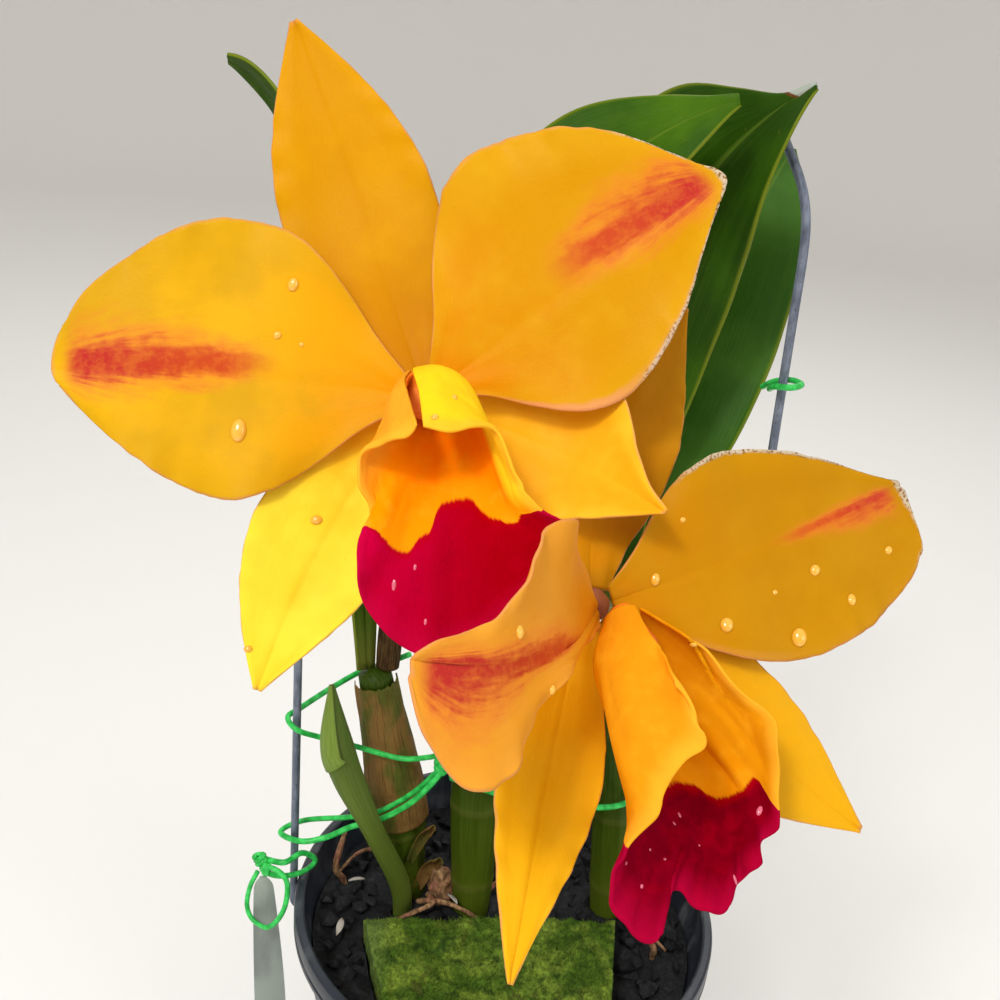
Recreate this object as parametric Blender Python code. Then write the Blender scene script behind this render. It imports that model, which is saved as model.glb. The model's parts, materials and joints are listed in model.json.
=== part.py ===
"""A potted cattleya orchid with two open blooms, tied to two wires on the pot's rim.

Sizes and places below are in millimetres and degrees; each mesh is scaled to metres as it is made.
The origin is the centre of the pot's underside, +Z is up and the blooms face -Y.
"""

import math
from dataclasses import dataclass, replace

import bpy
import numpy as np
from mathutils import Vector

MM = 0.001
GAP = 0.3  # clear space left between two pieces that touch

# Pot: a turned plastic pot with a square rim band and a drained base.
POT_HEIGHT = 105.0
RIM_RADIUS = 64.0
RIM_BAND = 8.0
RIM_THICKNESS = 3.2
RIM_STEP = 1.2  # the wall stands this far inside the rim band
BASE_RADIUS = 44.0
POT_WALL = 2.0
POT_FLOOR = 2.5
POT_SIDES = 40
DRAIN_RADIUS = 4.5
DRAIN_RING = 27.0
DRAIN_COUNT = 6

# What fills the pot: charcoal mix, with a moss-grown block set in it at the front.
MEDIUM_TOP = 92.0
ROOTED = 82.0  # how far down the bulbs and roots reach
MOSS_BLOCK = ((-42, -10), (35, -1), (31, -43), (-30, -46))
MOSS_TOP = 101.0
MOSS_THICKNESS = 14.0

# The blooms' shapes are measured in the frame of a viewer in front of and above the plant:
# to the right, up and away from the viewer, as PITCH and ROLL turn that frame.
PITCH = 22.0
ROLL = 5.5
VIEWER = (-13.1, -256.0, 338.8)
UPPER_CENTRE = (-28.2, -75.4, 284.0)
LOWER_CENTRE = (4.8, -90.8, 253.8)
BLADE_START = 3.4
SEPAL_BACK = 1.4  # the outer whorl sits behind the inner one
PETAL_BACK = -0.8
LIP_RADIUS = 3.2
LIP_START = 5.0
LIP_RISE = 5.0  # the lip's tube starts above the bloom's centre
TEPAL_THICKNESS = (1.3, 0.8)
LEAF_THICKNESS = (2.2, 1.0)
SHEATH_THICKNESS = (0.8, 0.7)

# Rows along and columns across each kind of sheet.
TEPAL_GRID = (12, 8)
LIP_GRID = (12, 42)
LEAF_GRID = (12, 4)
SHEATH_GRID = (7, 8)

# Stems, wires, ties and label.
STEM_RADIUS = 2.4
SEAT_RADIUS = 2.9
STAKE_RADIUS = 1.2
STAKE_OUT = RIM_RADIUS + STAKE_RADIUS + GAP
LEFT_STAKE_TOP = 262.0
RIGHT_STAKE_ANGLE = 15.0
TIE_RADIUS = 0.85
LABEL_WIDTH = 8.0
LABEL_THICKNESS = 0.9

# Colour and roughness of each finish.
FINISHES = {
    "petal": ((0.95, 0.55, 0.03), 0.5),
    "lip": ((0.60, 0.01, 0.06), 0.35),
    "leaf": ((0.06, 0.22, 0.03), 0.4),
    "husk": ((0.32, 0.22, 0.11), 0.8),
    "root": ((0.42, 0.33, 0.18), 0.8),
    "mix": ((0.02, 0.02, 0.02), 0.9),
    "moss": ((0.12, 0.20, 0.04), 0.95),
    "pot": ((0.02, 0.02, 0.03), 0.5),
    "wire": ((0.30, 0.32, 0.34), 0.5),
    "tie": ((0.10, 0.55, 0.12), 0.4),
    "label": ((0.55, 0.57, 0.57), 0.5),
}

# Outlines of blades, as (share of the length, share of the half width).
SEPAL_OUTLINE = ((0, 0.30), (0.12, 0.52), (0.35, 0.95), (0.55, 1.0), (0.75, 0.74), (0.9, 0.36), (1, 0.05))
PETAL_OUTLINE = ((0, 0.12), (0.1, 0.30), (0.2, 0.55), (0.33, 0.83), (0.48, 1.0), (0.62, 0.97),
                 (0.75, 0.83), (0.86, 0.64), (0.95, 0.42), (1, 0.2))
LEAF_OUTLINE = ((0, 0.25), (0.1, 0.42), (0.35, 0.92), (0.6, 1.0), (0.82, 0.74), (0.93, 0.42), (1, 0.05))


def smooth_stations(stations, share):
    """The value at share of a smooth curve through (share, value) stations."""
    x = np.array([s[0] for s in stations], float)
    y = np.array([s[1] for s in stations], float)
    slope = np.gradient(y, x)
    i = int(np.clip(np.searchsorted(x, share) - 1, 0, len(x) - 2))
    h = x[i + 1] - x[i]
    u = (share - x[i]) / h
    a = (1 + 2 * u) * (1 - u) ** 2 * y[i] + u * (1 - u) ** 2 * h * slope[i]
    b = u * u * (3 - 2 * u) * y[i + 1] + u * u * (u - 1) * h * slope[i + 1]
    return float(a + b)


def smooth_path(points, steps):
    """A smooth curve through points."""
    points = [Vector(p) for p in points]
    points = [points[0] * 2 - points[1]] + points + [points[-1] * 2 - points[-2]]
    out = []
    for i in range(1, len(points) - 2):
        p0, p1, p2, p3 = points[i - 1:i + 3]
        for step in range(steps):
            u = step / steps
            square = (2 * p0 - 5 * p1 + 4 * p2 - p3) * u**2
            cube = (3 * p1 - p0 - 3 * p2 + p3) * u**3
            out.append(0.5 * (2 * p1 + (p2 - p0) * u + square + cube))
    return out + [points[-2]]


def seen(right, up, away):
    """A direction in the viewer's frame, as one in the part's own frame."""
    pitch, roll = math.radians(PITCH), math.radians(ROLL)
    ahead = Vector((0, math.cos(pitch), -math.sin(pitch)))
    level = Vector((1, 0, 0))
    over = Vector((0, math.sin(pitch), math.cos(pitch)))
    across = level * math.cos(roll) + over * math.sin(roll)
    above = over * math.cos(roll) - level * math.sin(roll)
    return across * right + above * up + ahead * away


def sighted(across, up, distance):
    """The place seen across and up the view, in thousandths of its distance."""
    return Vector(VIEWER) + seen(across * distance / 1000, up * distance / 1000, distance)


def make_finish(name):
    """The finish of that name, a surface of one colour."""
    colour, roughness = FINISHES[name]
    finish = bpy.data.materials.new(name)
    finish.use_nodes = True
    shader = finish.node_tree.nodes["Principled BSDF"]
    shader.inputs["Base Color"].default_value = (*colour, 1)
    shader.inputs["Roughness"].default_value = roughness
    shader.inputs["Metallic"].default_value = 0.0
    return finish


def mesh_object(name, points, faces, finish):
    """An object from points in millimetres."""
    mesh = bpy.data.meshes.new(name)
    mesh.from_pydata([Vector(p) * MM for p in points], [], faces)
    mesh.validate()
    mesh.shade_smooth()
    mesh.set_sharp_from_angle(angle=math.radians(40))
    mesh.materials.append(finish)
    made = bpy.data.objects.new(name, mesh)
    bpy.context.scene.collection.objects.link(made)
    return made


def sheet_object(name, grid, thickness, finish):
    """One closed sheet about a grid of points. Thickness is the middle's and the edge's."""
    rows, columns = grid.shape[0] - 1, grid.shape[1] - 1
    down = np.gradient(grid, axis=0)
    across = np.gradient(grid, axis=1)
    normal = np.cross(across, down)
    normal /= np.linalg.norm(normal, axis=2, keepdims=True)
    t = np.abs(np.linspace(-1, 1, columns + 1))[None, :]
    s = np.linspace(0, 1, rows + 1)[:, None]
    edge = np.maximum(t**2, s**6)
    depth = (thickness[0] * (1 - edge) + thickness[1] * edge)[..., None]
    front = (grid + normal * depth / 2).reshape(-1, 3)
    back = (grid - normal * depth / 2).reshape(-1, 3)
    count = len(front)
    wide = columns + 1
    faces = []
    for row in range(rows):
        for column in range(columns):
            a = row * wide + column
            b, c, d = a + 1, a + wide + 1, a + wide
            faces += [(a, b, c), (a, c, d)]
            faces += [(count + a, count + c, count + b), (count + a, count + d, count + c)]
    rim = list(range(columns))
    rim += [row * wide + columns for row in range(rows)]
    rim += [rows * wide + column for column in range(columns, 0, -1)]
    rim += [row * wide for row in range(rows, 0, -1)]
    for a, b in zip(rim, rim[1:] + rim[:1]):
        faces += [(a, count + a, count + b), (a, count + b, b)]
    return mesh_object(name, np.concatenate([front, back]), faces, finish)


def tube_object(name, path, radii, sides, finish, closed=False, flat=1.0):
    """A round bar along a path of points, with a radius at each, or a ring where it is closed."""
    points = [Vector(p) for p in path]
    count = len(points)
    radii = [radii] * count if isinstance(radii, float) else radii
    tangents = []
    for i in range(count):
        ahead = points[(i + 1) % count] if closed or i + 1 < count else points[i]
        behind = points[i - 1] if closed or i else points[i]
        tangents.append((ahead - behind).normalized())
    turn = tangents[0].orthogonal().normalized()
    vertices = []
    for point, tangent, radius in zip(points, tangents, radii):
        turn = (turn - tangent * turn.dot(tangent)).normalized()
        other = tangent.cross(turn) * flat
        for k in range(sides):
            angle = math.tau * k / sides
            vertices.append(point + (turn * math.cos(angle) + other * math.sin(angle)) * radius)
    shift = 0
    if closed:
        spoke = vertices[0] - points[0]
        drift = math.atan2(spoke.dot(tangents[0].cross(turn)), spoke.dot(turn))
        shift = round(drift / math.tau * sides)
    faces = []
    for i in range(count if closed else count - 1):
        j = (i + 1) % count
        slip = shift if closed and j == 0 else 0
        for k in range(sides):
            m = (k + 1) % sides
            c, d = (m + slip) % sides, (k + slip) % sides
            faces.append((i * sides + k, i * sides + m, j * sides + c, j * sides + d))
    if not closed:
        faces.append(tuple(reversed(range(sides))))
        faces.append(tuple((count - 1) * sides + k for k in range(sides)))
    return mesh_object(name, vertices, faces, finish)


def lathe_object(name, profile, sides, finish):
    """A turned body from a profile of (radius, height), which starts and ends on the axis."""
    vertices = [(0, 0, profile[0][1]), (0, 0, profile[-1][1])]
    inner = profile[1:-1]
    for radius, height in inner:
        for k in range(sides):
            angle = math.tau * k / sides
            vertices.append((radius * math.cos(angle), radius * math.sin(angle), height))
    faces = []
    for k in range(sides):
        m = (k + 1) % sides
        faces.append((0, 2 + m, 2 + k))
        for row in range(len(inner) - 1):
            a, b = 2 + row * sides, 2 + (row + 1) * sides
            faces.append((a + k, a + m, b + m, b + k))
        last = 2 + (len(inner) - 1) * sides
        faces.append((1, last + k, last + m))
    return mesh_object(name, vertices, faces, finish)


def cut(target, tools):
    """Take the tools away from the target and remove them."""
    for tool in tools:
        modifier = target.modifiers.new("cut", "BOOLEAN")
        modifier.object = tool
        modifier.operation = "DIFFERENCE"
        modifier.solver = "EXACT"
    bpy.context.view_layer.update()
    graph = bpy.context.evaluated_depsgraph_get()
    made = bpy.data.meshes.new_from_object(target.evaluated_get(graph))
    target.modifiers.clear()
    target.data = made
    for tool in tools:
        bpy.data.objects.remove(tool)


@dataclass
class Blade:
    """A petal, sepal or leaf on a midrib from its start past a handle to its tip. The face is where
    its front looks, at the base and at the tip. Cup is the angle from the middle to an edge, at the
    base and at the tip; a negative cup bends the edges back."""

    tip: tuple
    handle: tuple
    width: float
    outline: tuple
    face: tuple = ((0, 0, -1), (0, 0, -1))
    cup: tuple = (0, 0)
    right_cup: tuple = None
    right_outline: tuple = None
    lean: float = 1.0  # the right half's width over the left one's
    wave: float = 0.0
    waves: float = 3.0
    blunt: float = 0.0  # how far the tip's corners are drawn back
    start: tuple = (0, 0, 0)


def blade_frame(blade, share):
    """A point of the midrib, with the directions across and out of the face."""
    start, handle, tip = (seen(*p) for p in (blade.start, blade.handle, blade.tip))
    point = start * (1 - share) ** 2 + handle * 2 * share * (1 - share) + tip * share**2
    along = ((handle - start) * (1 - share) + (tip - handle) * share).normalized()
    face = seen(*blade.face[0]) * (1 - share) + seen(*blade.face[1]) * share
    across = along.cross(face).normalized()
    return point, across, across.cross(along)


def blade_grid(blade, rows, columns):
    """The blade's middle surface, as rows of points from its base to its tip."""
    grid = np.zeros((rows + 1, columns + 1, 3))
    half = blade.width / 2
    for row in range(rows + 1):
        share = row / rows
        point, across, face = blade_frame(blade, share)
        left = half * smooth_stations(blade.outline, share)
        right = half * blade.lean * smooth_stations(blade.right_outline or blade.outline, share)
        swell = math.sin(math.pi * min(1.0, share * 0.95 + 0.05)) ** 0.5
        for column in range(columns + 1):
            t = 2 * column / columns - 1
            reach = right if t > 0 else left
            bend = blade.right_cup if t > 0 and blade.right_cup else blade.cup
            cup = math.radians(bend[0] * (1 - share) + bend[1] * share) or 1e-6
            ripple = math.sin(math.tau * blade.waves * share + (1.9 if t > 0 else 0.0))
            rise = reach * (1 - math.cos(cup * t)) / cup + blade.wave * abs(t) ** 3 * swell * ripple
            drawn = blade.blunt * t * t * share**8
            spot = point + across * (reach * math.sin(cup * t) / cup) + face * rise
            grid[row, column] = spot - face.cross(across) * drawn
    return grid


@dataclass
class Lip:
    """The lip: a sheet rolled round the column into a tube, whose front opens into a ruffled lobe.
    The tube is two rings about its axis, each wrapped from the bottom by its own half turns. From
    there a rib runs to each place on the front edge, past a bend. Each rib is (share round from the
    seam's left side, -1, to its right side, 1; bend; edge), and its places are as seen."""

    seam: tuple  # the way the seam looks
    throat: tuple  # the middle of the second ring
    throat_radius: float
    half_turns: tuple
    ribs: tuple
    ruffle: float
    ruffles: float


def spline(places, at, share):
    """The point at share of a smooth curve that passes each place at its own share."""
    i = int(np.clip(np.searchsorted(at, share) - 1, 0, len(at) - 2))
    slope = np.gradient(np.array(places), np.array(at), axis=0)
    h = at[i + 1] - at[i]
    u = (share - at[i]) / h
    a = (1 + 2 * u) * (1 - u) ** 2 * places[i] + u * (1 - u) ** 2 * h * slope[i]
    b = u * u * (3 - 2 * u) * places[i + 1] + u * u * (u - 1) * h * slope[i + 1]
    return a + b


LIP_SHARES = (0.0, 0.34, 0.68, 1.0)  # how far along a rib its base, throat, bend and edge lie


def lip_grid(lip, centre, rows, columns):
    """The lip's middle surface, as rows of points from its base to its front edge."""
    seam = seen(*lip.seam).normalized()
    throat = sighted(*lip.throat)
    base = centre + seam * LIP_RISE
    axis = (throat - base).normalized()
    base = base + axis * LIP_START
    belly = -(seam - axis * axis.dot(seam)).normalized()
    side = axis.cross(belly)
    turns = [rib[0] for rib in lip.ribs]
    bends = np.array([sighted(*rib[1]) for rib in lip.ribs])
    edges = np.array([sighted(*rib[2]) for rib in lip.ribs])
    grid = np.zeros((rows + 1, columns + 1, 3))
    for column in range(columns + 1):
        t = 2 * column / columns - 1
        turned = [math.radians(pair[t > 0]) * t for pair in lip.half_turns]
        low, high = (belly * math.cos(turn) + side * math.sin(turn) for turn in turned)
        places = np.array([base + low * LIP_RADIUS, throat + high * lip.throat_radius,
                           spline(bends, turns, t), spline(edges, turns, t)])
        for row in range(rows + 1):
            grid[row, column] = spline(places, LIP_SHARES, row / rows)
    normal = np.cross(np.gradient(grid, axis=1), np.gradient(grid, axis=0))
    normal /= np.linalg.norm(normal, axis=2, keepdims=True)
    t = np.linspace(-1, 1, columns + 1)[None, :, None]
    share = np.linspace(0, 1, rows + 1)[:, None, None]
    return grid + normal * lip.ruffle * share**4 * np.sin(math.pi * lip.ruffles * t)


UPPER_TEPALS = {
    "dorsal_sepal": Blade(
        tip=(-22.8, 66.0, -5), handle=(-11, 34, 2), width=29, outline=SEPAL_OUTLINE, lean=0.92,
        face=((0, 0, -1), (0, -0.1, -1)), cup=(14, 10)),
    "left_sepal": Blade(
        tip=(-29.5, -51.8, -4), handle=(-20, -22, 2), width=26, outline=SEPAL_OUTLINE,
        face=((0, 0, -1), (0, 0.1, -1)), cup=(20, 20)),
    "right_sepal": Blade(
        tip=(40.9, -20.2, -14), handle=(24, -8, 9.6), width=28, cup=(-8, 22), right_cup=(20, 20),
        face=((0, 0, -1), (-0.2, 0, -1)),
        outline=((0, 0.3), (0.12, 0.5), (0.35, 0.9), (0.58, 1.1), (0.7, 0.95), (0.8, 0.56),
                 (0.9, 0.22), (1, 0.03)),
        right_outline=((0, 0.3), (0.12, 0.5), (0.35, 0.95), (0.55, 0.95), (0.75, 0.62), (0.9, 0.28),
                       (1, 0.03))),
    "left_petal": Blade(
        tip=(-64.1, 4.6, -6), handle=(-34, 5, 0), width=45, cup=(10, 4), wave=1, lean=1.22, blunt=2,
        face=((0, 0, -1), (0.1, 0, -1)),
        outline=((0, 0.12), (0.1, 0.3), (0.2, 0.55), (0.33, 0.83), (0.48, 0.98), (0.62, 0.9),
                 (0.75, 0.71), (0.86, 0.5), (0.95, 0.3), (1, 0.16)),
        right_outline=((0, 0.12), (0.1, 0.34), (0.2, 0.62), (0.33, 0.9), (0.46, 1.0), (0.6, 0.96),
                       (0.75, 0.8), (0.86, 0.62), (0.95, 0.42), (1, 0.24))),
    "right_petal": Blade(
        tip=(51.8, 37.3, -6), handle=(26, 19, -2), width=57, cup=(10, 4), wave=1, lean=0.74,
        outline=((0, 0.12), (0.1, 0.34), (0.2, 0.64), (0.36, 0.96), (0.5, 1.02), (0.66, 0.9),
                 (0.76, 0.76), (0.9, 0.46), (1, 0.14)),
        right_outline=((0, 0.12), (0.1, 0.3), (0.2, 0.62), (0.3, 0.88), (0.42, 1), (0.6, 0.86),
                       (0.73, 0.66), (0.83, 0.44), (0.93, 0.24), (1, 0.12))),
}
LOWER_TEPALS = {
    "dorsal_sepal": Blade(
        tip=(21, 57, 22), handle=(1, 32, 15), width=23, outline=SEPAL_OUTLINE, lean=1.1,
        face=((0.3, 0.2, -1), (0.3, 0.3, -1)), cup=(14, 10)),
    "left_sepal": Blade(
        tip=(-14.3, -50.8, -35), handle=(-9.5, -26, -18), width=19, cup=(25, 20),
        face=((0.4, 0.3, -1), (0.4, 0.3, -1)),
        outline=((0, 0.3), (0.12, 0.52), (0.35, 0.95), (0.5, 1.0), (0.7, 0.72), (0.87, 0.34), (1, 0.05))),
    "right_sepal": Blade(
        tip=(48.1, -39.6, 0), handle=(20, -18, 4), width=25, outline=SEPAL_OUTLINE,
        face=((0.2, 0.3, -1), (0.2, 0.3, -1)), cup=(20, 10)),
    "left_petal": Blade(
        tip=(-28, -1.8, -51.2), handle=(-6, -7.4, -34.6), width=46, cup=(20, 10), wave=1, lean=0.8,
        face=((0.9, 0.1, -0.5), (0.4, 0.1, -0.9)),
        outline=((0, 0.08), (0.15, 0.08), (0.3, 0.13), (0.48, 0.22), (0.62, 0.42), (0.74, 0.66),
                 (0.84, 0.7), (0.92, 0.5), (0.97, 0.32), (1, 0.12)),
        right_outline=((0, 0.12), (0.1, 0.5), (0.2, 0.9), (0.33, 1.04), (0.48, 0.88), (0.62, 0.45),
                       (0.75, 0.25), (0.86, 0.22), (0.95, 0.14), (1, 0.04))),
    "right_petal": Blade(
        tip=(59.6, 21.3, 15), handle=(30, 8, 6), width=41, cup=(10, 4), wave=1,
        face=((0.3, 0.2, -1), (0.3, 0.2, -1)),
        outline=((0, 0.12), (0.1, 0.32), (0.2, 0.57), (0.33, 0.83), (0.48, 0.93), (0.62, 0.83),
                 (0.75, 0.61), (0.86, 0.38), (0.94, 0.18), (1, 0.04)),
        right_outline=((0, 0.12), (0.1, 0.3), (0.2, 0.56), (0.33, 0.84), (0.48, 1.03), (0.62, 1.04),
                       (0.75, 0.99), (0.86, 0.86), (0.94, 0.68), (0.98, 0.48), (1, 0.08))),
}
UPPER_LIP = Lip(
    seam=(-0.4, 0.92, 0), throat=(-61, 84, 176), throat_radius=8.3, half_turns=((172, 178), (164, 182)),
    ruffle=0.3, ruffles=9,
    ribs=(
        (-1, (-87, 99, 168), (-80, 72, 163)),
        (-0.91, (-96, 88, 168), (-89, 61, 163)),
        (-0.82, (-104, 78, 169), (-102, 56, 164)),
        (-0.72, (-111, 67, 171), (-118, 53, 166)),
        (-0.62, (-120, 53, 172), (-132, 41, 168)),
        (-0.52, (-121, 32, 172), (-135, 13, 168)),
        (-0.42, (-115, 8, 171), (-123, -11, 169)),
        (-0.33, (-110, -11, 169), (-134, -36, 166)),
        (-0.25, (-105, -29, 169), (-137, -74, 166)),
        (-0.15, (-90, -42, 170), (-112, -124, 168)),
        (-0.05, (-65, -46, 170), (-72, -148, 170)),
        (0.05, (-40, -44, 171), (-29, -138, 171)),
        (0.15, (-16, -38, 171), (19, -103, 171)),
        (0.25, (3, -29, 171), (63, -48, 170)),
        (0.34, (12, -11, 171), (57, -19, 168)),
        (0.43, (10, 6, 171), (29, 0, 168)),
        (0.52, (5, 28, 172), (18, 16, 169)),
        (0.62, (-2, 50, 172), (10, 41, 169)),
        (0.72, (-12, 75, 171), (-3, 65, 168)),
        (0.82, (-29, 92, 169), (-25, 70, 165)),
        (0.91, (-52, 97, 167), (-50, 64, 163)),
        (1, (-77, 101, 167), (-73, 70, 163)),
    ))
LOWER_LIP = Lip(
    seam=(0.72, 0.39, -0.57), throat=(138, -155, 172.6), throat_radius=8.2, half_turns=((165, 170), (135, 174)), ruffle=0.5,
    ruffles=11,
    ribs=(
        (-1, (154, -143, 163), (167, -177, 156)),
        (-0.9, (156, -173, 160), (188, -209, 153)),
        (-0.8, (145, -196, 157), (196, -232, 151)),
        (-0.7, (131, -216, 155), (177, -249, 151)),
        (-0.6, (122, -236, 155), (156, -278, 151)),
        (-0.5, (117, -259, 156), (149, -305, 150)),
        (-0.42, (122, -276, 162), (119, -329, 150)),
        (-0.34, (131, -288, 165), (114, -352, 151)),
        (-0.27, (141, -293, 167), (104, -383, 151)),
        (-0.2, (150, -297, 169), (122, -410, 151)),
        (-0.12, (162, -297, 171), (152, -417, 150)),
        (-0.05, (173, -297, 172), (156, -381, 157)),
        (0.03, (184, -295, 173), (171, -370, 160)),
        (0.12, (195, -291, 174), (192, -392, 161)),
        (0.2, (206, -286, 174), (216, -391, 161)),
        (0.27, (215, -280, 174), (229, -362, 165)),
        (0.34, (224, -273, 174), (248, -350, 165)),
        (0.41, (232, -271, 173), (249, -326, 168)),
        (0.48, (238, -259, 174), (266, -312, 169)),
        (0.56, (240, -244, 174), (265, -278, 170)),
        (0.64, (236, -225, 175), (265, -243, 171)),
        (0.72, (230, -206, 175), (263, -211, 172)),
        (0.8, (215, -187, 175), (240, -193, 173)),
        (0.88, (202, -168, 175), (219, -169, 173)),
        (0.94, (188, -146, 175), (199, -148, 173)),
        (1, (175, -131, 174), (187, -136, 173)),
    ))

# Each leaf's place on top of its bulb, and its blade.
LEAVES = {
    "leaf_rear": ((24.9, 21.7, 198.6), Blade(
        tip=(50, 132, -4), handle=(20, 82.1, 5), width=44, outline=LEAF_OUTLINE,
        face=((0, 0.2, -1), (0, 0.2, -1)), cup=(20, 10), start=(1.5, 0.4, 4.5))),
    "leaf_middle": ((24.9, 21.7, 198.6), Blade(
        tip=(38.6, 126.3, -65), handle=(-10, 108, -20), width=44, cup=(20, 14), start=(-1.5, -0.7, 0.5),
        face=((0, 0.2, -1), (0, 0.4, -1)),
        outline=((0, 0.25), (0.1, 0.42), (0.35, 1.0), (0.6, 1.22), (0.74, 1.2), (0.82, 0.98),
                 (0.88, 0.52), (0.94, 0.14), (1, 0.05)),
        right_outline=LEAF_OUTLINE)),
    "leaf_front": ((-11.5, 15.8, 210.6), Blade(
        tip=(54.5, 107.5, -62), handle=(-9, 96, -36), width=36, right_outline=LEAF_OUTLINE,
        face=((0, 0.2, -1), (0.2, 0.4, -1)), cup=(20, 10), start=(0, -0.6, 0.5),
        outline=((0, 0.25), (0.1, 0.42), (0.35, 0.9), (0.6, 1.1), (0.75, 1.0), (0.88, 0.5),
                 (0.96, 0.2), (1, 0.12)))),
    "leaf_left": ((-45.0, 11.4, 173.1), Blade(
        tip=(-36.9, 170, -25), handle=(-3, 156, -25), width=13, cup=(25, 20), start=(-3, 0.3, 1.0),
        face=((0.5, 0, -0.85), (-0.75, -0.6, -0.3)),
        outline=((0, 0.45), (0.1, 0.7), (0.35, 0.95), (0.6, 0.7), (0.75, 0.45), (0.93, 0.45),
                 (1, 0.3)),
        right_outline=((0, 0.45), (0.1, 0.7), (0.35, 0.95), (0.6, 1.0), (0.82, 0.9), (0.93, 0.7),
                       (1, 0.3)))),
}

# Swollen stems: foot, middle and top, and the radii from the foot up.
BULBS = {
    "bulb_left": ((-29, 14, 80), (-37, 13, 130), (-45, 11.4, 172), (5, 6.3, 8.3, 7.4, 5.9, 5)),
    "bulb_middle": ((-9.6, 7.4, 80), (-12, 11, 150), (-11.5, 15.8, 209), (5, 7, 8, 7.5, 6, 5)),
    "bulb_right": ((34.9, 13.3, 80), (31, 17, 145), (24.9, 21.7, 197), (5, 6.5, 7, 6.5, 6, 5)),
}

# The flat shoot at the left: its foot, then places seen from the viewer.
SHOOT_FOOT = (-31.5, 4.5, ROOTED)
SHOOT = ((-95, -368, 328), (-121, -314, 309), (-145, -264, 301), (-155, -230, 297), (-160, -176, 294))
SHOOT_RADII = (3.2, 3.4, 3.3, 4.6, 4.4, 0.7)

# Each root's path and the radii along it.
ROOTS = {
    "root_lump": (((-19, 11, ROOTED), (-19.3, 10.5, 90), (-20, 9.5, 98), (-20.5, 9, 104)), (2, 2.8, 3, 1.2)),
    "root_left": (((-50, 14, 84), (-52, 13, 92), (-54, 9, 101), (-52, 12, 112)), (1, 1, 1, 0.8)),
    "root_right": (((47, -6, 84), (47, -7, 92), (46, -10, 99), (41, -8, 106)), (0.9, 0.9, 0.9, 0.8)),
}

# The stems' paths from the bulbs' tops up to the blooms' backs.
UPPER_STEM = ((-41.6, 13.6, 173.6), (-41.2, 13.4, 190), (-39, 5, 225), (-33, -18, 258), (-29, -45, 272))
LOWER_STEM = ((25.2, 18.2, 198.0), (25, 17, 203), (22.5, 6, 210), (13, -18, 214), (3, -48, 222),
              (-1, -68, 238))
STEM_STEPS = 3

# Each tie passes these places, seen from the viewer. A closed one joins its own end.
OPEN_TIES = {
    "tie_upper": (
        (-47, -243, 302.5), (-57, -243, 303), (-60, -252, 303.6), (-51, -257, 304.3), (-45, -249, 305),
        (-54, -242, 305.8), (-68, -245, 307.5), (-95, -246, 309.5), (-136, -235, 309.5), (-171, -226, 306),
        (-193, -219, 301.5), (-202, -207, 304.5), (-190, -198, 307.5), (-159, -178, 314),
        (-130, -162, 318.8), (-110, -156, 319), (-86, -147, 313)),
    "tie_leaf": (
        (257, 106, 285), (262, 108, 277), (278, 107, 271.5), (287, 110, 275), (278, 114, 279.5),
        (262, 113, 284), (250, 108, 292)),
}
CLOSED_TIES = {
    "tie_lower": (
        (-55, -254, 311), (-83, -279, 313), (-116, -297, 315), (-143, -302, 317), (-186, -305, 324),
        (-209, -316, 321), (-190, -325, 315.7), (-165, -321, 315.6), (-141, -311, 314.6),
        (-114, -304, 313), (-83, -287, 310.5), (-58, -262, 308.4)),
    "tie_right": (
        (-46, -265, 306.4), (10, -283, 311), (76, -292, 313), (116, -290, 318), (141, -272, 333),
        (95, -250, 346), (-20, -226, 345), (-47, -238, 322)),
    "tie_label": (
        (-224, -342, 318), (-205, -345, 316), (-188.5, -336, 321), (-176, -343, 326), (-188, -354, 322),
        (-210, -358, 317), (-226, -352, 316.5)),
}

# The label's middle line from its head down, and the share of its width there.
LABEL_LINE = ((-73.4, -7.1, 108.7), (-72.8, -7.2, 98), (-70.8, -7.6, 60), (-69.8, -8.0, 24))
LABEL_SHARES = (0.45, 1.0, 1.0, 1.0)


def make_tepals(name, centre, tepals, finish):
    """The sepals and petals of one bloom, each on the head of the stem."""
    for part, blade in tepals.items():
        face = seen(*blade.face[0]).normalized()
        behind = face * -(PETAL_BACK if "petal" in part else SEPAL_BACK)
        placed = replace(blade, start=Vector(blade.handle).normalized() * BLADE_START)
        grid = blade_grid(placed, *TEPAL_GRID) + np.array(centre + behind)
        sheet_object(f"{name}_{part}", grid, TEPAL_THICKNESS, finish)


def make_lip(name, centre, lip, lip_finish, column_finish):
    """The lip of one bloom, and the column that stands inside its tube."""
    sheet_object(f"{name}_lip", lip_grid(lip, centre, *LIP_GRID), TEPAL_THICKNESS, lip_finish)
    base = centre + seen(*lip.seam).normalized() * LIP_RISE
    axis = (sighted(*lip.throat) - base).normalized()
    path = [base + axis * reach for reach in (3.4, 5.0, 7.0, 10.0, 12.0, 14.0)]
    tube_object(f"{name}_column", path, (2.1, 2.1, 2.2, 2.7, 3.0, 1.6), 8, column_finish)


def make_leaves(finish):
    """The strap leaves, each on the top of a bulb."""
    for name, (place, blade) in LEAVES.items():
        sheet_object(name, blade_grid(blade, *LEAF_GRID) + np.array(place), LEAF_THICKNESS, finish)


def bulb_shape(name, extra=0.0, steps=10):
    """The path and radii of a swollen stem, grown by extra."""
    *places, radii = BULBS[name]
    stations = [(i / (len(radii) - 1), radius) for i, radius in enumerate(radii)]
    grown = [smooth_stations(stations, k / steps) + extra for k in range(steps + 1)]
    return smooth_path(places, steps // 2), grown


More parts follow.
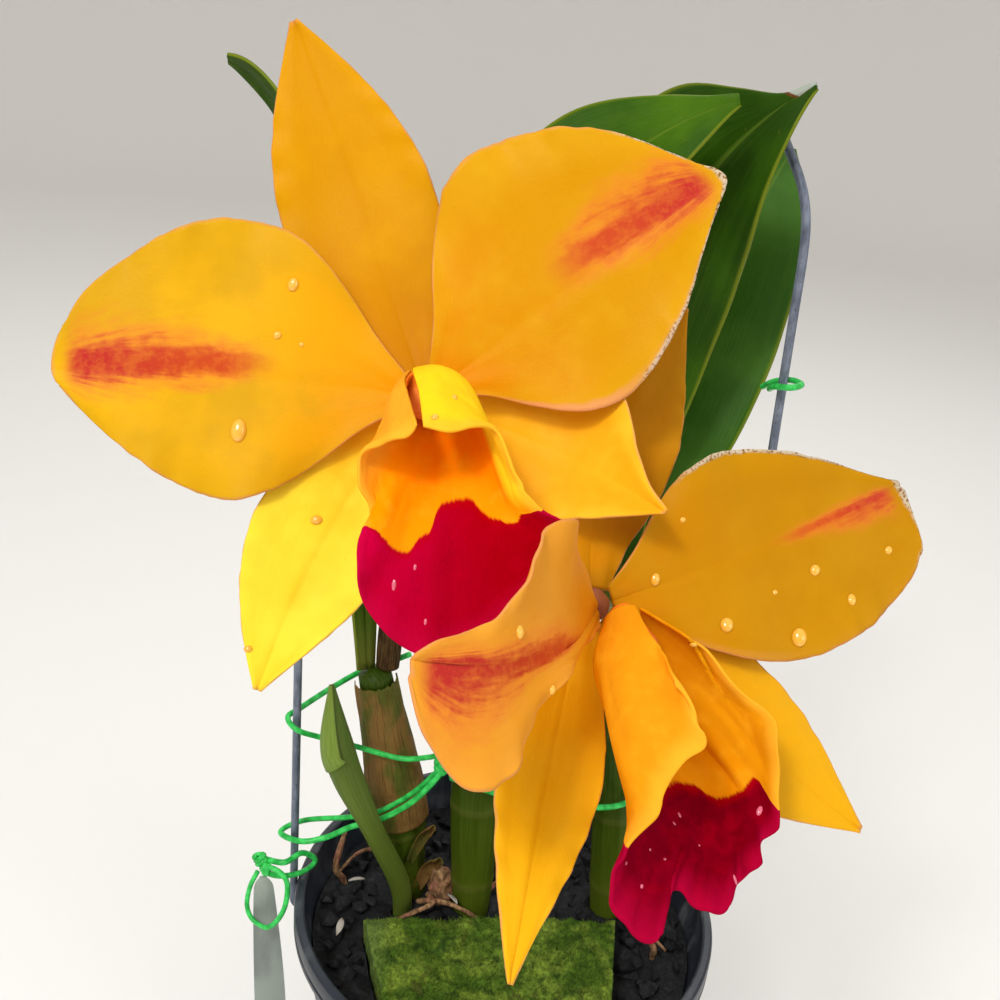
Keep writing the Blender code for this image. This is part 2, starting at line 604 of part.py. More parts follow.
def make_bulbs(finish):
    """The three swollen stems. Returns a hole's shape for each."""
    holes = []
    for name in BULBS:
        path, radii = bulb_shape(name)
        tube_object(name, path, radii, 12, finish)
        path, radii = bulb_shape(name, GAP)
        path[0] = path[0] - (path[1] - path[0]).normalized() * GAP
        holes.append(tube_object("hole", path, radii, 12, finish))
    return holes


def make_young_shoot(finish):
    """The flat green shoot beside the left bulb. Returns its hole's shape."""
    path = [Vector(SHOOT_FOOT)] + [sighted(*place) for place in SHOOT]
    tube_object("young_shoot", path, SHOOT_RADII, 10, finish, flat=0.7)
    path[0] = path[0] - Vector((0, 0, GAP))
    return tube_object("hole", path[:3], [r + GAP for r in SHOOT_RADII[:3]], 10, finish, flat=0.75)


def make_roots(finish):
    """The roots that stand out of the mix. Returns a hole's shape for each."""
    holes = []
    for name, (path, radii) in ROOTS.items():
        tube_object(name, path, radii, 8, finish)
        low = Vector(path[0]) - Vector((0, 0, GAP))
        holes.append(tube_object("hole", [low, *path[1:]], [r + GAP for r in radii], 8, finish))
    return holes


def wall_radius(height):
    """The outside radius of the pot's wall."""
    top = RIM_RADIUS - RIM_THICKNESS + POT_WALL - RIM_STEP
    return BASE_RADIUS + (top - BASE_RADIUS) * height / (POT_HEIGHT - RIM_BAND)


def make_pot(finish):
    """The pot: a tapered wall, a square rim band and a base with drain holes."""
    under = POT_HEIGHT - RIM_BAND
    inner = RIM_RADIUS - RIM_THICKNESS
    profile = [
        (0, 0), (BASE_RADIUS, 0), (wall_radius(under), under), (RIM_RADIUS - 0.4, under + 0.4),
        (RIM_RADIUS, POT_HEIGHT - 0.8), (RIM_RADIUS - 0.9, POT_HEIGHT), (inner + 0.6, POT_HEIGHT),
        (inner, POT_HEIGHT - 0.8), (wall_radius(under) - POT_WALL, under - 1),
        (wall_radius(POT_FLOOR) - POT_WALL, POT_FLOOR), (0, POT_FLOOR)]
    pot = lathe_object("pot", profile, POT_SIDES, finish)
    drains = []
    for k in range(DRAIN_COUNT):
        angle = math.tau * (k + 0.5) / DRAIN_COUNT
        x, y = DRAIN_RING * math.cos(angle), DRAIN_RING * math.sin(angle)
        drains.append(tube_object("drain", [(x, y, -2), (x, y, 2 * POT_FLOOR)], DRAIN_RADIUS, 12, finish))
    cut(pot, drains)


def moss_height(x, y):
    """The unevenness of the moss block's top."""
    return 0.9 * math.sin(x * 0.31 + 1.0) * math.cos(y * 0.37) + 0.6 * math.sin(x * 0.13 - y * 0.21)


def make_moss(finish):
    """The moss-grown block: a four-sided slab with an uneven top. Returns its recess's shape."""
    rear_left, rear_right, front_right, front_left = (Vector((*p, 0)) for p in MOSS_BLOCK)
    across, deep = 9, 6
    vertices, faces = [], []
    for level in range(2):
        for j in range(deep + 1):
            for i in range(across + 1):
                u, v = i / across, j / deep
                place = (rear_left * (1 - u) + rear_right * u) * (1 - v)
                place = place + (front_left * (1 - u) + front_right * u) * v
                edge = min(u, 1 - u, v, 1 - v) * 6
                height = MOSS_TOP + moss_height(place.x, place.y) - max(0.0, 1 - edge) * 1.4
                vertices.append((place.x, place.y, MOSS_TOP - MOSS_THICKNESS if level else height))
    wide = across + 1
    count = wide * (deep + 1)
    for j in range(deep):
        for i in range(across):
            a = j * wide + i
            b, c, d = a + 1, a + wide + 1, a + wide
            faces.append((a, d, c, b))
            faces.append((count + a, count + b, count + c, count + d))
    rim = list(range(across))
    rim += [j * wide + across for j in range(deep)]
    rim += [deep * wide + i for i in range(across, 0, -1)]
    rim += [j * wide for j in range(deep, 0, -1)]
    for a, b in zip(rim, rim[1:] + rim[:1]):
        faces.append((a, b, count + b, count + a))
    mesh_object("moss_block", vertices, faces, finish)
    return grown_block(MOSS_BLOCK, MOSS_TOP - MOSS_THICKNESS - GAP, 120, 0.5, finish)


def grown_block(corners, low, high, extra, finish):
    """A four-sided prism, grown outwards by extra."""
    corners = [Vector((*p, 0)) for p in corners]
    centre = sum(corners, Vector()) / 4
    grown = [p + (p - centre).normalized() * extra for p in corners]
    vertices = [(p.x, p.y, low) for p in grown] + [(p.x, p.y, high) for p in grown]
    faces = [(0, 1, 2, 3), (7, 6, 5, 4), (0, 4, 5, 1), (1, 5, 6, 2), (2, 6, 7, 3), (3, 7, 4, 0)]
    return mesh_object("recess", vertices, faces, finish)


def mix_height(x, y):
    """The unevenness of the mix's top."""
    broad = 1.7 * math.sin(x * 0.43 + 0.6) * math.sin(y * 0.39 + 1.1)
    return broad + 1.1 * math.sin(x * 0.9 - y * 0.7) - 0.6


def make_medium(finish, holes):
    """The charcoal mix: it fills the pot, lumpy on top, with a plain hole for each thing in it."""
    rings, sides = 9, 36
    outer = wall_radius(MEDIUM_TOP) - POT_WALL - GAP
    low = POT_FLOOR + GAP
    profile = [(0, low), (wall_radius(low) - POT_WALL - GAP, low)]
    profile += [(outer * (rings - k) / rings, MEDIUM_TOP) for k in range(rings)] + [(0, MEDIUM_TOP)]
    medium = lathe_object("medium", profile, sides, finish)
    for vertex in medium.data.vertices:
        x, y, z = (c / MM for c in vertex.co)
        if z > MEDIUM_TOP / 2 and math.hypot(x, y) < outer - 1:
            vertex.co.z += mix_height(x, y) * MM
    cut(medium, holes)


def wrap_grid(path, radii, turns, rows, columns):
    """A sheet wrapped part way round a path; turns are its two edges' angles, from the viewer."""
    grid = np.zeros((rows + 1, columns + 1, 3))
    toward = -seen(0, 0, 1)
    for row in range(rows + 1):
        place = row / rows * (len(path) - 1)
        i = min(int(place), len(path) - 2)
        point = path[i].lerp(path[i + 1], place - i)
        along = (path[i + 1] - path[i]).normalized()
        radius = radii[i] + (radii[i + 1] - radii[i]) * (place - i)
        face = (toward - along * toward.dot(along)).normalized()
        side = along.cross(face)
        for column in range(columns + 1):
            angle = math.radians(turns[0] + (turns[1] - turns[0]) * column / columns)
            grid[row, column] = point + (face * math.cos(angle) + side * math.sin(angle)) * radius
    return grid


def make_sheath(finish):
    """The papery coat round the upper part of the left bulb."""
    path, radii = bulb_shape("bulb_left", 0.9)
    grid = wrap_grid(path[4:], radii[4:], (-95, 110), *SHEATH_GRID)
    sheet_object("sheath", grid, SHEATH_THICKNESS, finish)


def stem_object(name, path, finish):
    """A flower stem, swollen where the bloom sits on it."""
    radii = [STEM_RADIUS] * (len(path) - 2) + [SEAT_RADIUS] * 2
    tube_object(name, path, radii, 8, finish)


def make_upper_stem(stem_finish, husk_finish):
    """The upper stem, with the dry coat round its foot."""
    centre = Vector(UPPER_CENTRE)
    path = smooth_path([*UPPER_STEM, centre + seen(0, 0, 12), centre + seen(0, 0, 0.2)], STEM_STEPS)
    stem_object("upper_stem", path, stem_finish)
    grid = wrap_grid(path[:5], (STEM_RADIUS + 0.8, 3.4, 3.4, 3.3, 3.2), (-150, 150), 5, 8)
    sheet_object("stem_sheath", grid, SHEATH_THICKNESS, husk_finish)


def make_lower_stem(finish):
    """The lower stem, which meets its bloom at a slant."""
    centre = Vector(LOWER_CENTRE)
    neck = centre + seen(-0.12, -0.1, 0.4).normalized() * 11
    head = centre - seen(-0.1, -0.2, 1).normalized() * 2.1
    stem_object("lower_stem", smooth_path([*LOWER_STEM, neck, head], STEM_STEPS), finish)


def make_stakes(finish):
    """The two wires: each clips under the rim band and runs up; the right one turns in at its top."""
    hook = [(62.6, 92.9), (STAKE_OUT - 1.0, 93.0), (STAKE_OUT, 95.0), (STAKE_OUT, 100), (STAKE_OUT, 112)]
    left = [(-r, 0, z) for r, z in hook] + [(-STAKE_OUT, 0, 180), (-STAKE_OUT, 0, LEFT_STAKE_TOP)]
    tube_object("stake_left", left, STAKE_RADIUS, 8, finish)
    angle = math.radians(RIGHT_STAKE_ANGLE)
    right = [(r * math.cos(angle), r * math.sin(angle), z) for r, z in hook]
    right += [(60.5, 16.8, 220), (57.6, 17.1, 309), (56.8, 18.0, 315), (54.5, 20.0, 319.5), (47, 27, 334)]
    tube_object("stake_right", right, STAKE_RADIUS, 8, finish)


def make_ties(finish):
    """The coated ties round stems, leaf, label and stakes."""
    for name, places in OPEN_TIES.items():
        path = smooth_path([sighted(*place) for place in places], 3)
        tube_object(name, path, TIE_RADIUS, 6, finish)
    for name, places in CLOSED_TIES.items():
        points = [sighted(*place) for place in places]
        path = smooth_path([*points, points[0]], 3)[:-1]
        tube_object(name, path, TIE_RADIUS, 6, finish, closed=True)


def make_label(finish):
    """The bare label: a thin strip with a narrowed head, hanging beside the pot."""
    across = Vector((0.94, 0.2, 0.0)).normalized()
    grid = np.zeros((len(LABEL_LINE), 3, 3))
    for row, (place, share) in enumerate(zip(LABEL_LINE, LABEL_SHARES)):
        for column in range(3):
            grid[row, column] = Vector(place) + across * (column - 1) * LABEL_WIDTH / 2 * share
    sheet_object("label", grid, (LABEL_THICKNESS, LABEL_THICKNESS), finish)


def main():
    for old in list(bpy.data.objects):
        bpy.data.objects.remove(old)
    finish = {name: make_finish(name) for name in FINISHES}
    make_tepals("upper", Vector(UPPER_CENTRE), UPPER_TEPALS, finish["petal"])
    make_lip("upper", Vector(UPPER_CENTRE), UPPER_LIP, finish["lip"], finish["petal"])
    make_tepals("lower", Vector(LOWER_CENTRE), LOWER_TEPALS, finish["petal"])
    make_lip("lower", Vector(LOWER_CENTRE), LOWER_LIP, finish["lip"], finish["petal"])
    make_upper_stem(finish["leaf"], finish["husk"])
    make_lower_stem(finish["leaf"])
    make_leaves(finish["leaf"])
    make_sheath(finish["husk"])
    holes = make_bulbs(finish["leaf"])
    holes.append(make_young_shoot(finish["leaf"]))
    holes += make_roots(finish["root"])
    holes.append(make_moss(finish["moss"]))
    make_medium(finish["mix"], holes)
    make_pot(finish["pot"])
    make_stakes(finish["wire"])
    make_ties(finish["tie"])
    make_label(finish["label"])


main()
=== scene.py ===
"""The dressed model of a potted cattleya orchid with two open blooms.

Sizes and places are in millimetres, as in the part's source, and each mesh is scaled to metres as
it is made. Colours are given as a camera records them, from 0 to 255.
"""

import json
import math
import random
from dataclasses import dataclass, replace

import bmesh
import bpy
import numpy as np
from mathutils import Matrix, Vector, noise
from mathutils.bvhtree import BVHTree

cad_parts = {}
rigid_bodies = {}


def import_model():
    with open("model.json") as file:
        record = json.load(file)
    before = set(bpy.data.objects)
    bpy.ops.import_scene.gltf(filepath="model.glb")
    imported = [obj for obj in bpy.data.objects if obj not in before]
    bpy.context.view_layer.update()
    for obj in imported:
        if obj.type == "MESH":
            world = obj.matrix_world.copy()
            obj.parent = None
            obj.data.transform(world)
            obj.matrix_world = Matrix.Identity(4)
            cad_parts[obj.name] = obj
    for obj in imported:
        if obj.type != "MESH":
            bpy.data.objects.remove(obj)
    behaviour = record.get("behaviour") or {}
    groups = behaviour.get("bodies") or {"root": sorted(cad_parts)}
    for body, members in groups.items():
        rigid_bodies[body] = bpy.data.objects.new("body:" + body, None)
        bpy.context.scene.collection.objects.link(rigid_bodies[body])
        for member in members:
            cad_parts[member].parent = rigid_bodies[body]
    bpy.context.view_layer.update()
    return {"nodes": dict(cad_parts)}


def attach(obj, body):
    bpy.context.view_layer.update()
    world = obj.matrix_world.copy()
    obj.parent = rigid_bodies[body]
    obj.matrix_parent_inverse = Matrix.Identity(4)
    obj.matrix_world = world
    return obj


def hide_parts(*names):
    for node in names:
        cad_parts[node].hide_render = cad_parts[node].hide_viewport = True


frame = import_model()
MM = 0.001

# The camera stands where the photograph was taken from: in front of the plant and a little above
# it, looking down, slightly rolled. What was measured from there is given across, up and away.
VIEWER = (-13.1, -256.0, 338.8)
PITCH = 22.0
ROLL = 5.5
FOCAL_SHARE = 1.05  # the focal length over the frame's width


def seen(across, up, away):
    """A direction in the viewer's frame, as one in the part's own frame."""
    pitch, roll = math.radians(PITCH), math.radians(ROLL)
    ahead = Vector((0, math.cos(pitch), -math.sin(pitch)))
    level = Vector((1, 0, 0))
    over = Vector((0, math.sin(pitch), math.cos(pitch)))
    right = level * math.cos(roll) + over * math.sin(roll)
    above = over * math.cos(roll) - level * math.sin(roll)
    return right * across + above * up + ahead * away


def sighted(across, up, distance):
    """The place seen across and up the view, in thousandths of its distance."""
    return Vector(VIEWER) + seen(across * distance / 1000, up * distance / 1000, distance)


eye = bpy.data.cameras.new("viewer")
eye.sensor_width = 36
eye.lens = 36 * FOCAL_SHARE
eye.clip_start = 0.01
camera = bpy.data.objects.new("viewer", eye)
turned = Matrix((seen(1, 0, 0), seen(0, 1, 0), -seen(0, 0, 1))).transposed().to_4x4()
turned.translation = Vector(VIEWER) * MM
camera.matrix_world = turned
bpy.context.scene.collection.objects.link(camera)
bpy.context.scene.camera = camera
bpy.context.scene.view_settings.view_transform = "Standard"

# The studio is a plain pale floor that curves up into a wall all round, far off. It is painted
# board; a large soft lamp in front, smaller ones at the right and behind light the plant, and a
# very small one makes the sparkle on wet places.
FLOOR_RADIUS = 2600.0
COVE_RADIUS = 700.0
WALL_TOP = 3200.0
FLOOR_LEVEL = -0.6
SKY_LIGHT = 0.66
LAMPS_AIM = (0, -30, 230)
LAMPS = (  # name, place, watts, side in mm
    ("lamp_front", (-420, -900, 1150), 6.6, 700),
    ("lamp_right", (900, -650, 620), 2.8, 600),
    ("lamp_rear", (150, 800, 1250), 4.2, 700),
    ("lamp_spark", (-330, -620, 900), 3.0, 130),
)


def tint(red, green, blue):
    """A colour that a camera records as 0 to 255, as the light that it stands for."""
    shares = (red / 255, green / 255, blue / 255)
    return tuple(s / 12.92 if s < 0.04045 else ((s + 0.055) / 1.055) ** 2.4 for s in shares)


class Finish:
    """A surface finish made of nodes. Fixed numbers go on the shader's own sockets."""

    def __init__(self, name, **fixed):
        self.surface = bpy.data.materials.new(name)
        self.surface.use_nodes = True
        self.tree = self.surface.node_tree
        self.shader = self.tree.nodes["Principled BSDF"]
        self.raised = None
        for socket, value in fixed.items():
            self.give(self.shader.inputs[socket.replace("_", " ")], value)

    def give(self, socket, value):
        """Set a socket to a number or a colour, or link it to another socket."""
        if isinstance(value, bpy.types.NodeSocket):
            self.tree.links.new(value, socket)
        elif isinstance(value, tuple) and len(value) == 3 and socket.type == "RGBA":
            socket.default_value = (*value, 1)
        else:
            socket.default_value = value

    def place(self, stretch=(1, 1, 1)):
        """Where a point is, in millimetres, with each direction stretched."""
        where = self.tree.nodes.new("ShaderNodeTexCoord")
        scaled = self.tree.nodes.new("ShaderNodeVectorMath")
        scaled.operation = "MULTIPLY"
        self.give(scaled.inputs[0], where.outputs["Object"])
        self.give(scaled.inputs[1], tuple(1000 * s for s in stretch))
        return scaled.outputs[0]

    def cloud(self, size, where=None, detail=3.0, rough=0.5):
        """Uneven values from 0 to 1, in patches of that size."""
        made = self.tree.nodes.new("ShaderNodeTexNoise")
        self.give(made.inputs["Vector"], where or self.place())
        made.inputs["Scale"].default_value = 1 / size
        made.inputs["Detail"].default_value = detail
        made.inputs["Roughness"].default_value = rough
        return made.outputs[0]

    def reckon(self, operation, first, second=0.0):
        """A sum, product or other reckoning of two numbers."""
        made = self.tree.nodes.new("ShaderNodeMath")
        made.operation = operation
        self.give(made.inputs[0], first)
        self.give(made.inputs[1], second)
        return made.outputs[0]

    def fade(self, value, low, high, start=0.0, end=1.0):
        """A soft step: start below low, end above high."""
        made = self.tree.nodes.new("ShaderNodeMapRange")
        made.interpolation_type = "SMOOTHSTEP"
        for socket, number in zip(made.inputs[:5], (value, low, high, start, end)):
            self.give(socket, number)
        return made.outputs[0]

    def blend(self, share, first, second):
        """A colour between two others."""
        made = self.tree.nodes.new("ShaderNodeMix")
        made.data_type = "RGBA"
        self.give(made.inputs[0], share)
        self.give(made.inputs[6], first)
        self.give(made.inputs[7], second)
        return made.outputs[2]

    def paint(self, colour, *coats):
        """A colour under coats of (share, colour), laid on one after another."""
        for share, coat in coats:
            colour = self.blend(share, colour, coat)
        return colour

    def relief(self, height, depth):
        """Raise the surface by a height of 0 to 1 times a depth in millimetres."""
        made = self.tree.nodes.new("ShaderNodeBump")
        made.inputs["Distance"].default_value = depth * MM
        self.give(made.inputs["Height"], height)
        if self.raised:
            self.give(made.inputs["Normal"], self.raised)
        self.raised = made.outputs[0]
        self.give(self.shader.inputs["Normal"], self.raised)

    def wear(self, colour, roughness=None):
        """Take that colour, and roughness where it varies."""
        self.give(self.shader.inputs["Base Color"], colour)
        if roughness is not None:
            self.give(self.shader.inputs["Roughness"], roughness)
        return self.surface


def mesh_piece(name, surface, points, faces, chart=None, soft=180):
    """A piece from points in millimetres. A chart gives each point's share across and along."""
    mesh = bpy.data.meshes.new(name)
    mesh.from_pydata(np.asarray(points, float) * MM, [], faces)
    if chart is not None:
        corner = np.zeros(len(mesh.loops), int)
        mesh.loops.foreach_get("vertex_index", corner)
        layer = mesh.uv_layers.new(name="spread")
        layer.data.foreach_set("uv", np.asarray(chart, float)[corner].ravel())
    mesh.shade_smooth()
    if soft < 180:
        mesh.set_sharp_from_angle(angle=math.radians(soft))
    mesh.materials.append(surface)
    piece = bpy.data.objects.new(name, mesh)
    bpy.context.scene.collection.objects.link(piece)
    return piece


def turned_points(profile, sides):
    """The points and faces of an open turned surface from a profile of (radius, height)."""
    angles = np.linspace(0, math.tau, sides, endpoint=False)
    points = [(r * math.cos(a), r * math.sin(a), z) for r, z in profile for a in angles]
    faces = []
    for row in range(len(profile) - 1):
        for k in range(sides):
            a, b = row * sides + k, row * sides + (k + 1) % sides
            faces.append((a, b, b + sides, a + sides))
    return points, faces


board = Finish("pale_board", Roughness=0.9)
board.wear(board.blend(board.cloud(900.0), tint(240, 238, 234), tint(244, 242, 239)))
cove = [(0.01, FLOOR_LEVEL), (400, FLOOR_LEVEL), (FLOOR_RADIUS, FLOOR_LEVEL)]
cove += [(FLOOR_RADIUS + COVE_RADIUS * math.sin(math.radians(a)),
          FLOOR_LEVEL + COVE_RADIUS * (1 - math.cos(math.radians(a)))) for a in range(10, 91, 10)]
cove.append((FLOOR_RADIUS + COVE_RADIUS, WALL_TOP))
mesh_piece("studio_floor", board.surface, *turned_points(cove, 96))
for name, place, watts, side in LAMPS:
    lamp = bpy.data.lights.new(name, "AREA")
    lamp.energy = watts
    lamp.size = side * MM
    stand = bpy.data.objects.new(name, lamp)
    stand.location = Vector(place) * MM
    aim = Vector(LAMPS_AIM) - Vector(place)
    stand.rotation_mode = "QUATERNION"
    stand.rotation_quaternion = aim.to_track_quat("-Z", "Y")
    bpy.context.scene.collection.objects.link(stand)
sky = bpy.data.worlds.new("soft_light")
sky.use_nodes = True
sky.node_tree.nodes["Background"].inputs[0].default_value = (1.0, 0.99, 0.97, 1)
sky.node_tree.nodes["Background"].inputs[1].default_value = SKY_LIGHT
bpy.context.scene.world = sky

# The pot is a thin moulded plastic one, blue-black, with a square rim band and six drain holes in
# its base. It is dusty outside, with dried water marks.
POT_HEIGHT = 105.0
RIM_RADIUS = 64.0
RIM_BAND = 8.0
RIM_THICKNESS = 3.2
BASE_RADIUS = 44.0
POT_WALL = 2.0
POT_FLOOR = 2.5
POT_SIDES = 144
FOOT_RISE = 0.9  # the underside's middle stands this far up
DRAIN_RADIUS = 4.5
DRAIN_RING = 27.0
DRAIN_COUNT = 6
DRILL_SIDES = 32
INSIDE_RIM = RIM_RADIUS - RIM_THICKNESS
UNDER_RIM = POT_HEIGHT - RIM_BAND
WALL_TOP_RADIUS = INSIDE_RIM + POT_WALL - 1.2


def wall_radius(height):
    """The outside radius of the pot's wall."""
    return BASE_RADIUS + (WALL_TOP_RADIUS - BASE_RADIUS) * height / UNDER_RIM


def settle(piece, slot, *nodes):
    """The piece rides on the plant and stands for those solids, which are hidden. The slot is not used."""
    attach(piece, "root")
    if nodes:
        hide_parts(*nodes)


plastic = Finish("pot_plastic", Coat_Weight=0.1, Coat_Roughness=0.3, Specular_IOR_Level=0.35)
grime = plastic.cloud(14.0, plastic.place((1, 1, 0.35)), 3.0, 0.6)
runs = plastic.cloud(5.0, plastic.place((1, 1, 0.08)), 3.0, 0.6)
dust = plastic.reckon("MULTIPLY", plastic.fade(grime, 0.45, 0.75), plastic.fade(runs, 0.35, 0.7))
plastic.relief(plastic.cloud(0.5), 0.02)
plastic.relief(grime, 0.12)
shell = plastic.blend(plastic.cloud(30.0), tint(30, 34, 43), tint(44, 49, 60))
plastic.wear(plastic.blend(plastic.reckon("MULTIPLY", dust, 0.5), shell, tint(120, 124, 126)),
             plastic.fade(dust, 0.0, 1.0, 0.34, 0.7))
top_wall, floor_wall = wall_radius(UNDER_RIM), wall_radius(POT_FLOOR) - POT_WALL
pot_profile = [
    (0.01, FOOT_RISE), (DRAIN_RING + 12, FOOT_RISE), (DRAIN_RING + 12.6, 0), (BASE_RADIUS - 1.0, 0),
    (BASE_RADIUS - 0.3, 0.3), (BASE_RADIUS, 1.0)]
pot_profile += [(wall_radius(z), z) for z in range(6, 94, 8)]
pot_profile += [(top_wall - 0.1, UNDER_RIM - 0.5), (top_wall + 0.3, UNDER_RIM)]
pot_profile += [(RIM_RADIUS - inset, UNDER_RIM + rise) for inset, rise in (
    (0.9, 0), (0.3, 0.3), (0, 0.9), (0, 2.2), (0.35, 2.6), (0.35, 3.2), (0, 3.6))]
pot_profile += [(RIM_RADIUS - inset, POT_HEIGHT - drop) for inset, drop in ((0, 1.2), (0.25, 0.5), (0.9, 0))]
pot_profile += [(INSIDE_RIM + out, POT_HEIGHT - drop) for out, drop in ((0.8, 0), (0.2, 0.4), (0, 1.0))]
pot_profile += [(INSIDE_RIM - 0.1, UNDER_RIM + 1.0), (top_wall - POT_WALL, UNDER_RIM - 1)]
pot_profile += [(wall_radius(z) - POT_WALL, z) for z in range(90, 9, -16)]
pot_profile += [(floor_wall, POT_FLOOR + 1.5), (floor_wall - 1.5, POT_FLOOR), (0.01, POT_FLOOR)]
points, faces = turned_points(pot_profile, POT_SIDES)
points += [(0, 0, FOOT_RISE), (0, 0, POT_FLOOR)]
last = (len(pot_profile) - 1) * POT_SIDES
faces += [(len(points) - 2, (k + 1) % POT_SIDES, k) for k in range(POT_SIDES)]
faces += [(len(points) - 1, last + k, last + (k + 1) % POT_SIDES) for k in range(POT_SIDES)]
pot_shell = mesh_piece("pot_shell", plastic.surface, points, faces)
points, faces = turned_points([(DRAIN_RADIUS, -2), (DRAIN_RADIUS, 2 * POT_FLOOR)], DRILL_SIDES)
faces += [tuple(range(DRILL_SIDES - 1, -1, -1)), tuple(range(DRILL_SIDES, 2 * DRILL_SIDES))]
drills = []
for k in range(DRAIN_COUNT):
    angle = math.tau * (k + 0.5) / DRAIN_COUNT
    drill = mesh_piece("drill", plastic.surface, points, faces)
    drill.location = Vector((DRAIN_RING * math.cos(angle), DRAIN_RING * math.sin(angle), 0)) * MM
    hole = pot_shell.modifiers.new("hole", "BOOLEAN")
    hole.object = drill
    hole.solver = "EXACT"
    drills.append(drill)
bpy.context.view_layer.update()
graph = bpy.context.evaluated_depsgraph_get()
drilled = bpy.data.meshes.new_from_object(pot_shell.evaluated_get(graph))
pot_shell.modifiers.clear()
pot_shell.data = drilled
drilled.set_sharp_from_angle(angle=math.radians(30))
for drill in drills:
    bpy.data.objects.remove(drill)
settle(pot_shell, "pot", "pot")

# The pot is filled with charcoal: broken angular lumps, blue-black and dull, lying loose on finer
# crumbs. Each lump here is a hull of random points, kept clear of what stands in the mix.
MIX_TOP = 92.0
MIX_RADIUS = 58.0
LUMP_SIZES = (3.2, 7.0)
LUMP_TRIES = 5200
LUMP_CORNERS = 13
LUMP_SQUASH = (0.62, 0.46, 0.4)
MOSS_BLOCK = ((-42, -10), (35, -1), (31, -43), (-30, -46))
STANDING = (  # x, y and radius of what stands in the mix
    (-31, 13.8, 7.2), (-10, 8, 7.2), (34, 14, 7.2), (-32, 4, 5.4), (-19.3, 10.5, 4.0), (-53, 11, 1.6),
    (46, -8, 1.6))


def inside_block(x, y, margin):
    """Whether a place lies in the moss block's four sides, grown by a margin."""
    for (ax, ay), (bx, by) in zip(MOSS_BLOCK, MOSS_BLOCK[1:] + MOSS_BLOCK[:1]):
        long = math.hypot(bx - ax, by - ay)
        if ((bx - ax) * (y - ay) - (by - ay) * (x - ax)) / long > margin:
            return False
    return True


char = Finish("charcoal", Roughness=0.75, Specular_IOR_Level=0.25)
grain = char.cloud(1.1, char.place((1, 1, 0.4)), 3.0, 0.65)
char.relief(grain, 0.35)
ash = char.fade(char.cloud(5.0, None, 3.0), 0.5, 0.8, 0.0, 0.35)
char.wear(char.paint(tint(8, 8, 10), (grain, tint(30, 31, 33)), (ash, tint(70, 72, 72))),
          char.fade(grain, 0.3, 0.8, 0.9, 0.55))
medium = frame["nodes"]["medium"]
medium.data.materials.clear()
medium.data.materials.append(char.surface)
random.seed(11)
points, faces, lumps = [], [], []
for _ in range(LUMP_TRIES):
    size = random.uniform(*LUMP_SIZES)
    angle = random.uniform(0, math.tau)
    out = (MIX_RADIUS - 0.5) * math.sqrt(random.random())
    x, y = out * math.cos(angle), out * math.sin(angle)
    reach = size * LUMP_SQUASH[0]
    spin = random.uniform(0, math.tau)
    corners = [Vector(random.gauss(0, 1) for _ in range(3)).normalized() for _ in range(LUMP_CORNERS)]
    if out + reach > MIX_RADIUS or inside_block(x, y, reach + 0.6):
        continue
    if any(math.hypot(x - a, y - b) < r + reach for a, b, r in STANDING):
        continue
    if any(math.hypot(x - a, y - b) < 0.4 * (size + other) for a, b, other in lumps):
        continue
    height = MIX_TOP + random.uniform(-1.4, 1.6)
    lumps.append((x, y, size))
    hull = bmesh.new()
    squash = Matrix.Diagonal(LUMP_SQUASH) * size
    for corner in corners:
        spot = Matrix.Rotation(spin, 3, "Z") @ (squash @ (corner * random.uniform(0.85, 1.1)))
        hull.verts.new(spot + Vector((x, y, height)))
    bmesh.ops.convex_hull(hull, input=hull.verts)
    bmesh.ops.bevel(hull, geom=hull.edges[:], offset=size * 0.035, segments=1, affect="EDGES")
    hull.verts.index_update()
    first = len(points)
    points += [tuple(v.co) for v in hull.verts]
    faces += [tuple(first + v.index for v in f.verts) for f in hull.faces]
    hull.free()
settle(mesh_piece("charcoal_lumps", char.surface, points, faces, soft=25), "mix")

# The block at the front is grown over with moss: short dense green cushions, yellower at the top
# left corner, with painted shade in the hollows. It is set in the mix and stands a little above it.
MOSS_TOP = 101.0
MOSS_THICKNESS = 14.0
MOSS_CELLS = (116, 66)
MOSS_MIDDLE = (-1.5, -25)
TUFTS = 5200


def uneven(x, y, z, size):
    """A smooth uneven value, about -0.5 to 0.5, in patches of that size."""
    return noise.noise(Vector((x, y, z)) / size)


def moss_surface(u, v):
    """A point of the block's grown top, from its rear left corner across and forward."""
    rear_left, rear_right, front_right, front_left = (Vector((*p, 0)) for p in MOSS_BLOCK)
    place = (rear_left * (1 - u) + rear_right * u) * (1 - v)
    place = place + (front_left * (1 - u) + front_right * u) * v
    x, y = place.x, place.y
    broad = 0.9 * math.sin(x * 0.31 + 1.0) * math.cos(y * 0.37) + 0.6 * math.sin(x * 0.13 - y * 0.21)
    edge = min(u, 1 - u, v, 1 - v) * 10
    fine = 1.3 * uneven(x, y, 0, 4.0) + 0.9 * uneven(x, y, 9, 1.7) + 0.5 * uneven(x, y, 5, 0.8)
    drop = 1.6 * max(0.0, 1 - edge) ** 2
    return Vector((x, y, MOSS_TOP + broad * 0.8 + fine - drop))


